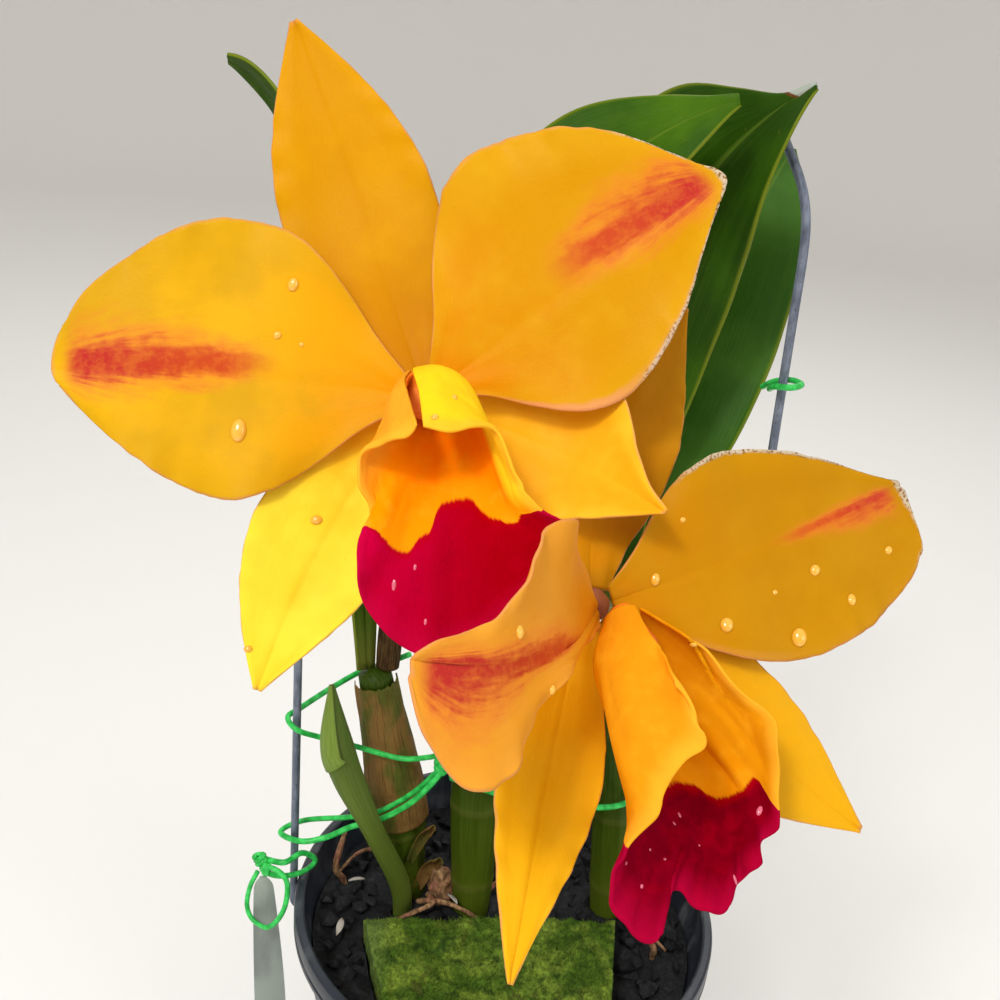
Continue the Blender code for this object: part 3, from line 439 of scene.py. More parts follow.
cushion = Finish("moss", Specular_IOR_Level=0.2)
tufts = cushion.cloud(1.2, None, 3.0, 0.6)
beds = cushion.cloud(9.0, None, 3.0, 0.55)
brown = cushion.cloud(6.0, cushion.place((1, 0.6, 1)), 2.0)
sides = cushion.tree.nodes.new("ShaderNodeSeparateXYZ")
cushion.give(sides.inputs[0], cushion.place())
pale = cushion.paint(
    tint(78, 108, 24), (cushion.fade(beds, 0.42, 0.66), tint(132, 156, 52)),
    (cushion.fade(cushion.cloud(4.0, None, 3.0), 0.5, 0.72), tint(52, 80, 18)),
    (cushion.fade(brown, 0.62, 0.74, 0.0, 0.6), tint(84, 76, 30)),
    (cushion.fade(sides.outputs[0], -38.0, -31.0, 0.6, 0.0), tint(132, 156, 76)))
cushion.relief(tufts, 0.6)
# Painted shade: the hollows between the tufts take a darker copy of the moss colour.
shaded = cushion.blend(0.5, pale, tint(30, 48, 8))
cushion.wear(cushion.blend(cushion.fade(tufts, 0.3, 0.75), shaded, pale), 0.9)
wide, deep = MOSS_CELLS
points = [moss_surface(i / wide, j / deep) for j in range(deep + 1) for i in range(wide + 1)]
faces = []
for j in range(deep):
    for i in range(wide):
        a = j * (wide + 1) + i
        faces.append((a, a + wide + 1, a + wide + 2, a + 1))
rim = list(range(wide)) + [j * (wide + 1) + wide for j in range(deep)]
rim += [deep * (wide + 1) + i for i in range(wide, 0, -1)] + [j * (wide + 1) for j in range(deep, 0, -1)]
top = len(points)
for level in (3.0, 7.0, MOSS_THICKNESS):
    for number in rim:
        p = points[number]
        jut = 0.8 * uneven(p.x, p.y, level * 3, 2.5) if level < MOSS_THICKNESS else 0.0
        away = Vector((p.x - MOSS_MIDDLE[0], p.y - MOSS_MIDDLE[1], 0)).normalized()
        points.append(Vector((p.x, p.y, MOSS_TOP - level)) + away * (jut - 0.2))
rings = [rim] + [list(range(top + k * len(rim), top + (k + 1) * len(rim))) for k in range(3)]
for upper, lower in zip(rings, rings[1:]):
    for k in range(len(rim)):
        m = (k + 1) % len(rim)
        faces.append((upper[k], upper[m], lower[m], lower[k]))
faces.append(tuple(rings[-1]))
random.seed(5)
for _ in range(TUFTS):
    root = moss_surface(random.uniform(0.01, 0.99), random.uniform(0.01, 0.99))
    lean = Vector((random.gauss(0, 0.5), random.gauss(0, 0.5), 1)).normalized() * random.uniform(0.7, 1.7)
    side = lean.cross(Vector((random.gauss(0, 1), random.gauss(0, 1), 0))).normalized() * 0.16
    other = lean.normalized().cross(side)
    first = len(points)
    points += [root - side - other * 0.6, root + side - other * 0.6, root + other * 1.2, root + lean]
    faces += [(first + a, first + b, first + 3) for a, b in ((0, 1), (1, 2), (2, 0))]
settle(mesh_piece("moss_cushion", cushion.surface, points, faces), "moss", "moss_block")

# Roots come out of the left stem's foot: a swollen pinkish lump, two free root tips in a dry
# papery skin, and thin ones that run over the charcoal. A few pale flakes of skin lie loose.
ROOTED = 82.0
ROOTS = {  # each one's places and radii
    "root_lump": (((-19, 11, ROOTED), (-19.3, 10.5, 90), (-20, 9.5, 98), (-21.5, 8.5, 104.5)),
                  (2.6, 3.9, 4.1, 1.8)),
    "root_left": (((-50, 14, 84), (-52, 13, 92), (-54, 9, 101), (-52, 12, 112)), (1, 1, 1, 0.8)),
    "root_right": (((47, -6, 84), (47, -7, 92), (46, -10, 99), (41, -8, 106)), (0.9, 0.9, 0.9, 0.8)),
}
CREEPING_ROOTS = (
    ((-27, 6, 93), (-21, 3, 96.5), (-14, 0.5, 97), (-8, -1, 95), (-4, -1.5, 91)),
    ((-24, 8, 94), (-22, 1, 97.5), (-27, -3, 97), (-33, -5, 94.5), (-38, -7, 91)),
    ((-33, 20, 93), (-42, 24, 96), (-49, 22, 95.5), (-54, 15, 93)),
    ((37, 10, 93), (43, 4, 96), (45, -1, 96.5), (51, -6, 94)),
    ((-6, 13, 93), (2, 17, 96.5), (10, 16, 97), (18, 20, 94)),
)
FLAKE_CELLS = (6, 2)
FLAKE_THICKNESS = 0.35
FLAKES = ((-49.0, -12.0, 97.0, 3.4), (-47.0, 8.0, 97.0, 2.6), (-16.0, 2.0, 98.6, 2.4), (50, 6, 97, 2.2))


def spline(places, at, share):
    """The place at share of a smooth curve that passes each place at its own share."""
    places, at = np.array(places, float), np.array(at, float)
    slope = np.gradient(places, at, axis=0)
    i = int(np.clip(np.searchsorted(at, share) - 1, 0, len(at) - 2))
    h = at[i + 1] - at[i]
    u = (share - at[i]) / h
    start = (1 + 2 * u) * (1 - u) ** 2 * places[i] + u * (1 - u) ** 2 * h * slope[i]
    return start + u * u * (3 - 2 * u) * places[i + 1] + u * u * (u - 1) * h * slope[i + 1]


def smooth_stations(stations, share):
    """The value at share of a smooth curve through (share, value) stations."""
    at, values = zip(*stations)
    return float(spline(values, at, share))


def smooth_path(places, steps, closed=False):
    """A smooth curve through places, with that many steps from one to the next."""
    places = [Vector(p) for p in places]
    if closed:
        places = [places[-1]] + places + [places[0], places[1]]
    else:
        places = [places[0] * 2 - places[1]] + places + [places[-1] * 2 - places[-2]]
    out = []
    for i in range(1, len(places) - 2):
        p0, p1, p2, p3 = places[i - 1:i + 3]
        for step in range(steps):
            u = step / steps
            square = (2 * p0 - 5 * p1 + 4 * p2 - p3) * u**2
            cube = (3 * p1 - p0 - 3 * p2 + p3) * u**3
            out.append(0.5 * (2 * p1 + (p2 - p0) * u + square + cube))
    return out if closed else out + [places[-2]]


def spread_radii(radii, count):
    """Radii given evenly along a path, for that many points of it."""
    stations = [(i / (len(radii) - 1), radius) for i, radius in enumerate(radii)]
    return [smooth_stations(stations, k / (count - 1)) for k in range(count)]


def rod_mesh(path, radii, sides, flat=1.0, closed=False, shape=None):
    """Points, faces and chart of a round bar along a path. A shape gives the share of the radius
    at an angle round it and a share along it."""
    count = len(path)
    radii = [radii] * count if isinstance(radii, float) else radii
    tangents = []
    for i in range(count):
        ahead = path[(i + 1) % count] if closed or i + 1 < count else path[i]
        behind = path[i - 1] if closed or i else path[i]
        tangents.append((ahead - behind).normalized())
    turn = tangents[0].orthogonal().normalized()
    points, chart = [], []
    for i, (point, tangent, radius) in enumerate(zip(path, tangents, radii)):
        turn = (turn - tangent * turn.dot(tangent)).normalized()
        other = tangent.cross(turn) * flat
        for k in range(sides):
            angle = math.tau * k / sides
            out = radius * (shape(angle, i / (count - 1)) if shape else 1.0)
            points.append(point + (turn * math.cos(angle) + other * math.sin(angle)) * out)
            chart.append((abs(2 * k / sides - 1), i / (count - 1)))
    shift = 0
    if closed:
        spoke = points[0] - path[0]
        drift = math.atan2(spoke.dot(tangents[0].cross(turn)), spoke.dot(turn))
        shift = round(drift / math.tau * sides)
    faces = []
    for i in range(count if closed else count - 1):
        j = (i + 1) % count
        slip = shift if closed and j == 0 else 0
        for k in range(sides):
            m = (k + 1) % sides
            c, d = (m + slip) % sides, (k + slip) % sides
            faces.append((i * sides + k, i * sides + m, j * sides + c, j * sides + d))
    if not closed:
        for end, point, order in ((0, path[0], -1), (count - 1, path[-1], 1)):
            out = tangents[end] * order * radii[end] * 0.35
            points.append(point + out)
            chart.append((0.5, end / (count - 1)))
            for k in range(sides):
                a, b = end * sides + k, end * sides + (k + 1) % sides
                faces.append((len(points) - 1, a, b) if order > 0 else (len(points) - 1, b, a))
    return points, faces, chart


def several(parts):
    """One set of points, faces and chart from several."""
    points, faces, chart = [], [], []
    for more, made, shares in parts:
        faces += [tuple(len(points) + n for n in face) for face in made]
        points += list(more)
        chart += list(shares)
    return points, faces, chart


skin = Finish("root_skin", Roughness=0.8, Specular_IOR_Level=0.25)
fibre = skin.cloud(1.3, skin.place((1, 1, 0.25)), 3.0, 0.6)
blush = skin.fade(skin.cloud(6.0), 0.4, 0.65)
skin.relief(fibre, 0.35)
skin.wear(skin.blend(skin.fade(fibre, 0.3, 0.7), tint(98, 70, 44),
                     skin.blend(blush, tint(176, 138, 98), tint(176, 116, 92))))


def gnarled(angle, share):
    """The uneven outline of a root."""
    return 1.0 + 0.3 * uneven(math.cos(angle) * 2, math.sin(angle) * 2, share * 14, 1.3)


for name, (places, radii) in ROOTS.items():
    path = smooth_path(places, 14)
    rod = rod_mesh(path, spread_radii(radii, len(path)), 20, shape=gnarled)
    settle(mesh_piece(name + "_skin", skin.surface, *rod), "root", name)
rods = []
for places in CREEPING_ROOTS:
    path = smooth_path(places, 10)
    rods.append(rod_mesh(path, [0.95 - 0.5 * k / len(path) for k in range(len(path))], 12, shape=gnarled))
settle(mesh_piece("creeping_roots", skin.surface, *several(rods)), "root")
random.seed(3)
points, faces = [], []
long, wide = FLAKE_CELLS
row = wide + 1
layer = (long + 1) * row
for x, y, z, size in FLAKES:
    turn = Matrix.Rotation(random.uniform(0, math.tau), 3, "Z") @ Matrix.Rotation(0.35, 3, "X")
    first = len(points)
    for level in (0.0, FLAKE_THICKNESS):
        for i in range(long + 1):
            for j in range(row):
                u, v = i / long * 2 - 1, j - 1
                height = level + 0.5 * v * v - 0.4 * u * u
                bulge = Vector((u * size, v * size * 0.28 * (1.1 - u * u), height))
                points.append(turn @ bulge + Vector((x, y, z)))
    for i in range(long):
        for j in range(wide):
            a = first + i * row + j
            b = a + layer
            faces += [(a, a + 1, a + row + 1, a + row), (b, b + row, b + row + 1, b + 1)]
    edge = [*range(wide), *range(wide, layer, row), *range(layer - 2, layer - row, -1)]
    edge += range(layer - row, 0, -row)
    for a, b in zip(edge, edge[1:] + edge[:1]):
        faces.append((first + a, first + a + layer, first + b + layer, first + b))
flake = Finish("dry_flake", Roughness=0.85)
flake.relief(flake.cloud(0.9), 0.2)
flake.wear(flake.blend(flake.cloud(2.0), tint(150, 142, 128), tint(206, 200, 188)))
settle(mesh_piece("loose_flakes", flake.surface, points, faces), "root")

# Each bulb is a swollen green stem, ribbed lengthwise, with a pale ring at each joint. The left
# one is wrapped in its dry papery coat, tan with dark veins, torn along its edges.
BULBS = {
    "bulb_left": ((-29, 14, 80), (-37, 13, 130), (-45, 11.4, 172), (5, 6.3, 8.3, 7.4, 5.9, 5)),
    "bulb_middle": ((-9.6, 7.4, 80), (-12, 11, 150), (-11.5, 15.8, 209), (5, 7, 8, 7.5, 6, 5)),
    "bulb_right": ((34.9, 13.3, 80), (31, 17, 145), (24.9, 21.7, 197), (5, 6.5, 7, 6.5, 6, 5)),
}
BULB_JOINTS = (0.16, 0.36, 0.6)
BULB_STEPS = 120
BULB_SIDES = 54
COAT_TURNS = (-95, 110)
COAT_STEPS = 80
COAT_FOOT = 32
COAT_CELLS = (72, 64)
TORN_ROWS = 12
BRACTS = (  # low and high end, and width
    ((-30.5, 6.8, 108), (-25.3, 2.2, 127), 3.0),
    ((-27.5, 9.5, 96), (-22.5, 5.5, 112), 4.2),
)
BRACT_CELLS = (24, 8)
BRACT_LEAN = 1.8


def bulb_line(name, extra, steps):
    """The path and radii of a bulb, grown by extra."""
    *places, radii = BULBS[name]
    path = smooth_path(places, steps // 2)
    return path, [radius + extra for radius in spread_radii(radii, len(path))]


def ribbed(angle, share):
    """The ribs and joints in a bulb's outline."""
    joint = max(math.exp(-((share - at) / 0.012) ** 2) for at in BULB_JOINTS)
    rib = math.cos(angle * 9 + 1.5 * math.sin(share * 5))
    return 0.985 + 0.022 * rib * math.sin(math.pi * share) + 0.035 * joint


def chart_shares(finish):
    """The shares across and along that a piece's chart gives."""
    flat = finish.tree.nodes.new("ShaderNodeUVMap")
    flat.uv_map = "spread"
    parts = finish.tree.nodes.new("ShaderNodeSeparateXYZ")
    finish.give(parts.inputs[0], flat.outputs[0])
    return parts.outputs[0], parts.outputs[1]


def charted(finish, across, along):
    """A place on the chart, stretched for a pattern that runs along a piece."""
    across_share, along_share = chart_shares(finish)
    made = finish.tree.nodes.new("ShaderNodeCombineXYZ")
    finish.give(made.inputs[0], finish.reckon("MULTIPLY", across_share, across))
    finish.give(made.inputs[1], finish.reckon("MULTIPLY", along_share, along))
    return made.outputs[0]


rind = Finish("bulb_rind", Specular_IOR_Level=0.12)
_, up_bulb = chart_shares(rind)
streaks = rind.cloud(1.0, charted(rind, 26.0, 5.0), 3.0, 0.6)
green = rind.blend(rind.fade(up_bulb, 0.0, 0.55), tint(78, 92, 18), tint(44, 66, 8))
green = rind.paint(green, (rind.fade(streaks, 0.4, 0.75, 0.0, 0.5), tint(88, 104, 30)))
for joint in BULB_JOINTS:
    away = rind.reckon("ABSOLUTE", rind.reckon("SUBTRACT", up_bulb, joint))
    green = rind.paint(green, (rind.fade(away, 0.004, 0.014, 0.2, 0.0), tint(112, 108, 56)))
rind.relief(streaks, 0.15)
rind.wear(green, rind.fade(streaks, 0.3, 0.8, 0.34, 0.5))
for name in BULBS:
    path, radii = bulb_line(name, 0.0, BULB_STEPS)
    rod = rod_mesh(path, radii, BULB_SIDES, shape=ribbed)
    settle(mesh_piece(name + "_rind", rind.surface, *rod), "leaf", name)


def wrapped(path, radii, turns, rows, columns, lift=None):
    """A sheet wrapped part way round a path; turns are its two edges' angles, from the viewer."""
    grid = np.zeros((rows + 1, columns + 1, 3))
    toward = -seen(0, 0, 1)
    for row in range(rows + 1):
        place = row / rows * (len(path) - 1)
        i = min(int(place), len(path) - 2)
        point = path[i].lerp(path[i + 1], place - i)
        along = (path[i + 1] - path[i]).normalized()
        radius = radii[i] + (radii[i + 1] - radii[i]) * (place - i)
        face = (toward - along * toward.dot(along)).normalized()
        side = along.cross(face)
        for column in range(columns + 1):
            share = column / columns
            angle = math.radians(turns[0] + (turns[1] - turns[0]) * share)
            out = radius + (lift(share, row / rows) if lift else 0.0)
            grid[row, column] = point + (face * math.cos(angle) + side * math.sin(angle)) * out
    return grid


def sheet_mesh(grid, middle, edge, hold=2):
    """Points, faces and chart of a closed sheet about a grid, with its middle's and edge's
    thickness. The higher the hold, the nearer the edge it thins."""
    rows, columns = grid.shape[0] - 1, grid.shape[1] - 1
    normal = np.cross(np.gradient(grid, axis=1), np.gradient(grid, axis=0))
    normal /= np.maximum(np.linalg.norm(normal, axis=2, keepdims=True), 1e-9)
    t = np.abs(np.linspace(-1, 1, columns + 1))[None, :]
    s = np.linspace(0, 1, rows + 1)[:, None]
    near = np.maximum(t**hold, s ** (3 * hold))
    depth = (middle * (1 - near) + edge * near)[..., None]
    points = np.concatenate([(grid + normal * depth / 2).reshape(-1, 3),
                             (grid - normal * depth / 2).reshape(-1, 3)])
    count, wide = (rows + 1) * (columns + 1), columns + 1
    a = (np.arange(rows)[:, None] * wide + np.arange(columns)[None, :]).ravel()
    front = np.stack([a, a + 1, a + wide + 1, a + wide], axis=1)
    back = np.stack([a, a + wide, a + wide + 1, a + 1], axis=1) + count
    rim = list(range(columns)) + [row * wide + columns for row in range(rows)]
    rim += [rows * wide + column for column in range(columns, 0, -1)]
    rim += [row * wide for row in range(rows, 0, -1)]
    ring = np.array(rim)
    after = np.roll(ring, -1)
    band = np.stack([ring, ring + count, after + count, after], axis=1)
    faces = np.concatenate([front, back, band]).tolist()
    across, along = np.meshgrid(np.linspace(0, 1, columns + 1), np.linspace(0, 1, rows + 1))
    flat = np.stack([across.ravel(), along.ravel()], axis=1)
    return points, faces, np.concatenate([flat, flat])


def crumpled(share, along):
    """How far the papery coat lifts off the bulb."""
    edge = abs(2 * share - 1) ** 4
    lift = 0.35 * math.sin(share * 31 + 3 * math.sin(along * 4)) * 0.4
    return lift + edge * (0.2 + 0.4 * uneven(share * 9, along * 6, 0, 1.0)) + 0.2 * along**6


paper = Finish("dry_coat", Roughness=0.75, Specular_IOR_Level=0.12)
veins = paper.cloud(1.0, charted(paper, 60.0, 4.0), 3.0, 0.6)
blotch = paper.fade(paper.cloud(8.0, paper.place((1, 1, 0.5))), 0.42, 0.62)
tan = paper.blend(blotch, tint(128, 96, 50), tint(86, 90, 34))
tan = paper.blend(paper.fade(veins, 0.5, 0.72), tan, tint(78, 56, 28))
paper.relief(veins, 0.3)
paper.relief(paper.cloud(2.5), 0.4)
paper.wear(tan)
path, radii = bulb_line("bulb_left", 0.9, COAT_STEPS)
coat = wrapped(path[COAT_FOOT:], radii[COAT_FOOT:], COAT_TURNS, *COAT_CELLS, crumpled)
ragged = np.array([0.9 * uneven(c * 0.35, 0, 0, 1.0) + 0.4 * uneven(c * 1.3, 4, 0, 1.0)
                   for c in range(COAT_CELLS[1] + 1)])
along_top = coat[-1] - coat[-6]
for row in range(TORN_ROWS + 1):
    coat[row - TORN_ROWS - 1] += along_top * ((0.3 * ragged[:, None] - 0.6) * (row / TORN_ROWS) ** 2)
settle(mesh_piece("bulb_coat", paper.surface, *sheet_mesh(coat, 0.7, 0.25)), "husk", "sheath")
scraps = []
for number, (low, high, width) in enumerate(BRACTS):
    low, high = Vector(low), Vector(high)
    side = (high - low).cross(Vector((0, -1, 0.2))).normalized()
    out = (high - low).cross(side).normalized()
    scrap = np.zeros((BRACT_CELLS[0] + 1, BRACT_CELLS[1] + 1, 3))
    for row in range(BRACT_CELLS[0] + 1):
        s = row / BRACT_CELLS[0]
        middle = low.lerp(high, s) + out * (2.2 * math.sin(math.pi * s)) + side * (BRACT_LEAN * s * s)
        for column in range(BRACT_CELLS[1] + 1):
            t = 2 * column / BRACT_CELLS[1] - 1
            reach = width / 2 * (0.35 + 0.75 * math.sin(math.pi * (0.1 + 0.8 * s)))
            curl = out * (-1.6 * t * t + 0.5 * uneven(t * 3, s * 6, number, 1.0))
            scrap[row, column] = middle + side * t * reach + curl
    scraps.append(sheet_mesh(scrap, 0.5, 0.2))
settle(mesh_piece("dry_bracts", paper.surface, *several(scraps)), "husk")

# The young shoot is this year's growth: a flat folded leaf, still closed, with a pale keel and a
# pointed tip. It grows out of the mix in front of the left bulb.
SHOOT_FOOT = (-31.5, 4.5, ROOTED)
SHOOT = ((-95, -368, 328), (-121, -314, 309), (-145, -264, 301), (-155, -230, 297), (-160, -176, 294))
SHOOT_RADII = (3.2, 3.4, 3.3, 4.6, 4.4, 0.7)
SHOOT_SIDES = 48
FOLD_START = 46
FOLD_TURNS = (-128, 12)
FOLD_CELLS = (40, 16)
SLANT_ROWS = 12


def folded(angle, share):
    """The shoot's outline: two halves folded together along a keel."""
    notch = math.exp(-((math.cos(angle) - 1.0) / 0.02) ** 2)
    return 1.0 - 0.16 * notch * min(1.0, share * 3) + 0.03 * math.cos(3 * angle)


def young_finish(name):
    """The skin of young growth, with its fine lengthwise lines."""
    made = Finish(name, Specular_IOR_Level=0.15, Roughness=0.45)
    lines = made.cloud(1.0, charted(made, 40.0, 3.0), 3.0)
    made.relief(lines, 0.15)
    return made, lines


fresh, lines = young_finish("young_leaf")
round_shoot, up_shoot = chart_shares(fresh)
body = fresh.blend(fresh.fade(up_shoot, 0.1, 0.9), tint(88, 104, 34), tint(74, 96, 34))
fresh.wear(fresh.paint(body, (fresh.fade(lines, 0.4, 0.7, 0.0, 0.4), tint(112, 128, 58)),
                       (fresh.fade(round_shoot, 0.9, 1.0, 0.0, 0.7), tint(132, 142, 74))))
path = smooth_path([Vector(SHOOT_FOOT)] + [sighted(*place) for place in SHOOT], 14)
radii = spread_radii(SHOOT_RADII, len(path))
rod = rod_mesh(path, radii, SHOOT_SIDES, flat=0.7, shape=folded)
settle(mesh_piece("young_shoot_leaf", fresh.surface, *rod), "leaf", "young_shoot")
fold = wrapped(path[FOLD_START:], [1.06 * r for r in radii[FOLD_START:]], FOLD_TURNS, *FOLD_CELLS)
fold_line = (fold[-1] - fold[0]).mean(axis=0)
slant = np.linspace(0, 1, FOLD_CELLS[1] + 1)[:, None] ** 2
for row in range(SLANT_ROWS):
    fold[row] += fold_line * (0.16 * slant * (1 - row / SLANT_ROWS))
pale_leaf, lines = young_finish("young_leaf_fold")
pale_leaf.wear(pale_leaf.blend(pale_leaf.fade(lines, 0.4, 0.7), tint(104, 128, 48), tint(124, 146, 64)))
settle(mesh_piece("young_shoot_fold", pale_leaf.surface, *sheet_mesh(fold, 0.5, 0.25)), "leaf")

# The leaves are thick leathery straps, folded along a paler midrib, deep green with fine lengthwise
# lines and yellow-green edges. Each one is joined to the top of its bulb.
LEAF_OUTLINE = ((0, 0.25), (0.1, 0.42), (0.35, 0.92), (0.6, 1.0), (0.82, 0.74), (0.93, 0.42), (1, 0.05))
LEAF_CELLS = (90, 28)
EDGE_WAVES = 3.0  # how often a blade's edge rises and falls along it


@dataclass
class Blade:
    """A petal, sepal or leaf on a midrib from its start past a handle to its tip, all as seen by
    the viewer. The face is where its front looks, at its base and at its tip. Cup is the angle from
    the middle to an edge at the base and at the tip; a negative cup bends the edges back."""

    tip: tuple
    handle: tuple
    width: float
    outline: tuple
    face: tuple = ((0, 0, -1), (0, 0, -1))
    cup: tuple = (0, 0)
    right_cup: tuple = None
    right_outline: tuple = None
    lean: float = 1.0  # the right half's width over the left one's
    wave: float = 0.0
    blunt: float = 0.0  # how far the tip's corners are drawn back
    start: tuple = (0, 0, 0)


def blade_frame(blade, share):
    """A point of the midrib, with the directions across and out of the face."""
    start, handle, tip = (seen(*p) for p in (blade.start, blade.handle, blade.tip))
    point = start * (1 - share) ** 2 + handle * 2 * share * (1 - share) + tip * share**2
    along = ((handle - start) * (1 - share) + (tip - handle) * share).normalized()
    face = seen(*blade.face[0]) * (1 - share) + seen(*blade.face[1]) * share
    across = along.cross(face).normalized()
    return point, across, across.cross(along)


def blade_grid(blade, rows, columns, nicks, relief):
    """The blade's middle surface from its base to its tip. Nicks gives how uneven the edge is at a
    side and share, relief how far the surface is raised at a place across and along it."""
    grid = np.zeros((rows + 1, columns + 1, 3))
    half = blade.width / 2
    for row in range(rows + 1):
        share = row / rows
        point, across, face = blade_frame(blade, share)
        left = half * smooth_stations(blade.outline, share) * (1 + nicks(-1, share))
        right = half * blade.lean * smooth_stations(blade.right_outline or blade.outline, share)
        right *= 1 + nicks(1, share)
        swell = math.sin(math.pi * min(1.0, share * 0.95 + 0.05)) ** 0.5
        for column in range(columns + 1):
            t = 2 * column / columns - 1
            reach = right if t > 0 else left
            bend = blade.right_cup if t > 0 and blade.right_cup else blade.cup
            cup = math.radians(bend[0] * (1 - share) + bend[1] * share) or 1e-6
            ripple = math.sin(math.tau * EDGE_WAVES * share + (1.9 if t > 0 else 0.0))
            rise = reach * (1 - math.cos(cup * t)) / cup + blade.wave * abs(t) ** 3 * swell * ripple
            rise += relief(t, share)
            drawn = blade.blunt * t * t * share**8
            spot = point + across * (reach * math.sin(cup * t) / cup) + face * rise
            grid[row, column] = spot - face.cross(across) * drawn
    return grid


LEAVES = {
    "leaf_rear": ((24.9, 21.7, 198.6), Blade(
        tip=(50, 132, -4), handle=(20, 82.1, 5), width=44, outline=LEAF_OUTLINE,
        face=((0, 0.2, -1), (0, 0.2, -1)), cup=(20, 10), start=(1.5, 0.4, 4.5))),
    "leaf_middle": ((24.9, 21.7, 198.6), Blade(
        tip=(38.6, 126.3, -65), handle=(-10, 108, -20), width=44, cup=(20, 14), start=(-1.5, -0.7, 0.5),
        face=((0, 0.2, -1), (0, 0.4, -1)),
        outline=((0, 0.25), (0.1, 0.42), (0.35, 1.0), (0.6, 1.22), (0.74, 1.2), (0.82, 0.98),
                 (0.88, 0.52), (0.94, 0.14), (1, 0.05)),
        right_outline=LEAF_OUTLINE)),
    "leaf_front": ((-11.5, 15.8, 210.6), Blade(
        tip=(54.5, 107.5, -62), handle=(-9, 96, -36), width=36, right_outline=LEAF_OUTLINE,
        face=((0, 0.2, -1), (0.2, 0.4, -1)), cup=(20, 10), start=(0, -0.6, 0.5),
        outline=((0, 0.25), (0.1, 0.42), (0.35, 0.9), (0.6, 1.1), (0.75, 1.0), (0.88, 0.5),
                 (0.96, 0.2), (1, 0.12)))),
    "leaf_left": ((-45.0, 11.4, 173.1), Blade(
        tip=(-36.9, 170, -25), handle=(-3, 156, -25), width=13, cup=(25, 20), start=(-3, 0.3, 1.0),
        face=((0.5, 0, -0.85), (-0.75, -0.6, -0.3)),
        outline=((0, 0.45), (0.1, 0.7), (0.35, 0.95), (0.6, 0.7), (0.75, 0.45), (0.93, 0.45),
                 (1, 0.3)),
        right_outline=((0, 0.45), (0.1, 0.7), (0.35, 0.95), (0.6, 1.0), (0.82, 0.9), (0.93, 0.7),
                       (1, 0.3)))),
}
LEAF_TINTS = {  # the blade's own green, its lit green, and from where its tip is dry
    "leaf_rear": (tint(44, 84, 16), tint(64, 106, 32), 2.0),
    "leaf_middle": (tint(28, 58, 0), tint(44, 80, 4), 0.945),
    "leaf_front": (tint(42, 80, 0), tint(68, 108, 2), 2.0),
    "leaf_left": (tint(36, 62, 2), tint(58, 84, 12), 2.0),
}


def leaf_finish(name, deep, lit, dry):
    """A leaf's skin: deep green, lined lengthwise, with a paler midrib and edges."""
    made = Finish(name, Specular_IOR_Level=0.08)
    across, along = chart_shares(made)
    off = made.reckon("ABSOLUTE", made.reckon("SUBTRACT", across, 0.5))
    lines = made.cloud(1.0, charted(made, 60.0, 2.2), 3.0, 0.6)
    patch = made.cloud(22.0, None, 3.0)
    specks = made.cloud(1.6, None, 2.0)
    dried = made.reckon("ADD", along, made.reckon("MULTIPLY", across, -0.03))
    side = made.fade(across, 0.5, 0.62, 1.0, 0.0)
    brown = made.reckon("MULTIPLY", made.fade(dried, dry - 0.004, dry), side)
    pale = made.reckon("MULTIPLY", made.fade(dried, dry + 0.003, dry + 0.007), side)
    green = made.paint(
        made.blend(made.fade(patch, 0.35, 0.68), deep, lit),
        (made.fade(lines, 0.35, 0.75, 0.0, 0.25), tint(72, 100, 22)),
        (made.fade(off, 0.0, 0.035, 0.4, 0.0), tint(104, 128, 40)),
        (made.fade(off, 0.468, 0.5, 0.0, 0.7), tint(122, 132, 30)),
        (made.fade(along, 0.0, 0.07, 0.6, 0.0), tint(110, 112, 44)),
        (made.fade(specks, 0.7, 0.78, 0.0, 0.2), tint(120, 120, 60)),
        (brown, tint(104, 62, 24)),
        (pale, tint(176, 184, 170)))
    made.relief(lines, 0.18)
    made.relief(made.cloud(0.8), 0.04)
    return made.wear(green, made.fade(patch, 0.3, 0.7, 0.34, 0.48))


def leaf_nicks(side, share):
    """How uneven a leaf's edge is."""
    return 0.012 * uneven(share * 7, side * 3, 1, 1.0)


def leaf_relief(t, share):
    """The groove over a leaf's midrib and the slight waves across it."""
    groove = -0.9 * math.exp(-(t / 0.07) ** 2) * math.sin(math.pi * min(1, share + 0.02))
    return groove + 0.5 * uneven(t * 1.6, share * 7, 2, 1.0)


for name, (place, blade) in LEAVES.items():
    grid = blade_grid(blade, *LEAF_CELLS, leaf_nicks, leaf_relief) + np.array(place)
    surface = leaf_finish(name + "_skin", *LEAF_TINTS[name])
    settle(mesh_piece(name + "_blade", surface, *sheet_mesh(grid, 1.9, 0.7, 4)), "leaf", name)

# The flower stems are smooth and green, yellower toward the bloom. The upper one comes out of a
# dry brown coat on top of its bulb.
STEM_RADIUS = 2.4
SEAT_RADIUS = 2.9
SEAT_STEPS = 20
STEM_SIDES = 32
HUSK_RADII = (3.2, 3.4, 3.4, 3.3, 3.2)
HUSK_CELLS = (30, 48)
UPPER_CENTRE = Vector((-28.2, -75.4, 284.0))
LOWER_CENTRE = Vector((4.8, -90.8, 253.8))
UPPER_STEM = ((-41.6, 13.6, 173.6), (-41.2, 13.4, 190), (-39, 5, 225), (-33, -18, 258), (-29, -45, 272))
LOWER_STEM = ((25.2, 18.2, 198.0), (25, 17, 203), (22.5, 6, 210), (13, -18, 214), (3, -48, 222),
              (-1, -68, 238))
stalk = Finish("stem_skin", Specular_IOR_Level=0.12, Roughness=0.42)
_, up_stem = chart_shares(stalk)
grain = stalk.cloud(1.0, charted(stalk, 14.0, 9.0), 3.0)
green = stalk.blend(stalk.fade(up_stem, 0.1, 0.85), tint(58, 78, 18), tint(104, 122, 26))
stalk.relief(grain, 0.12)
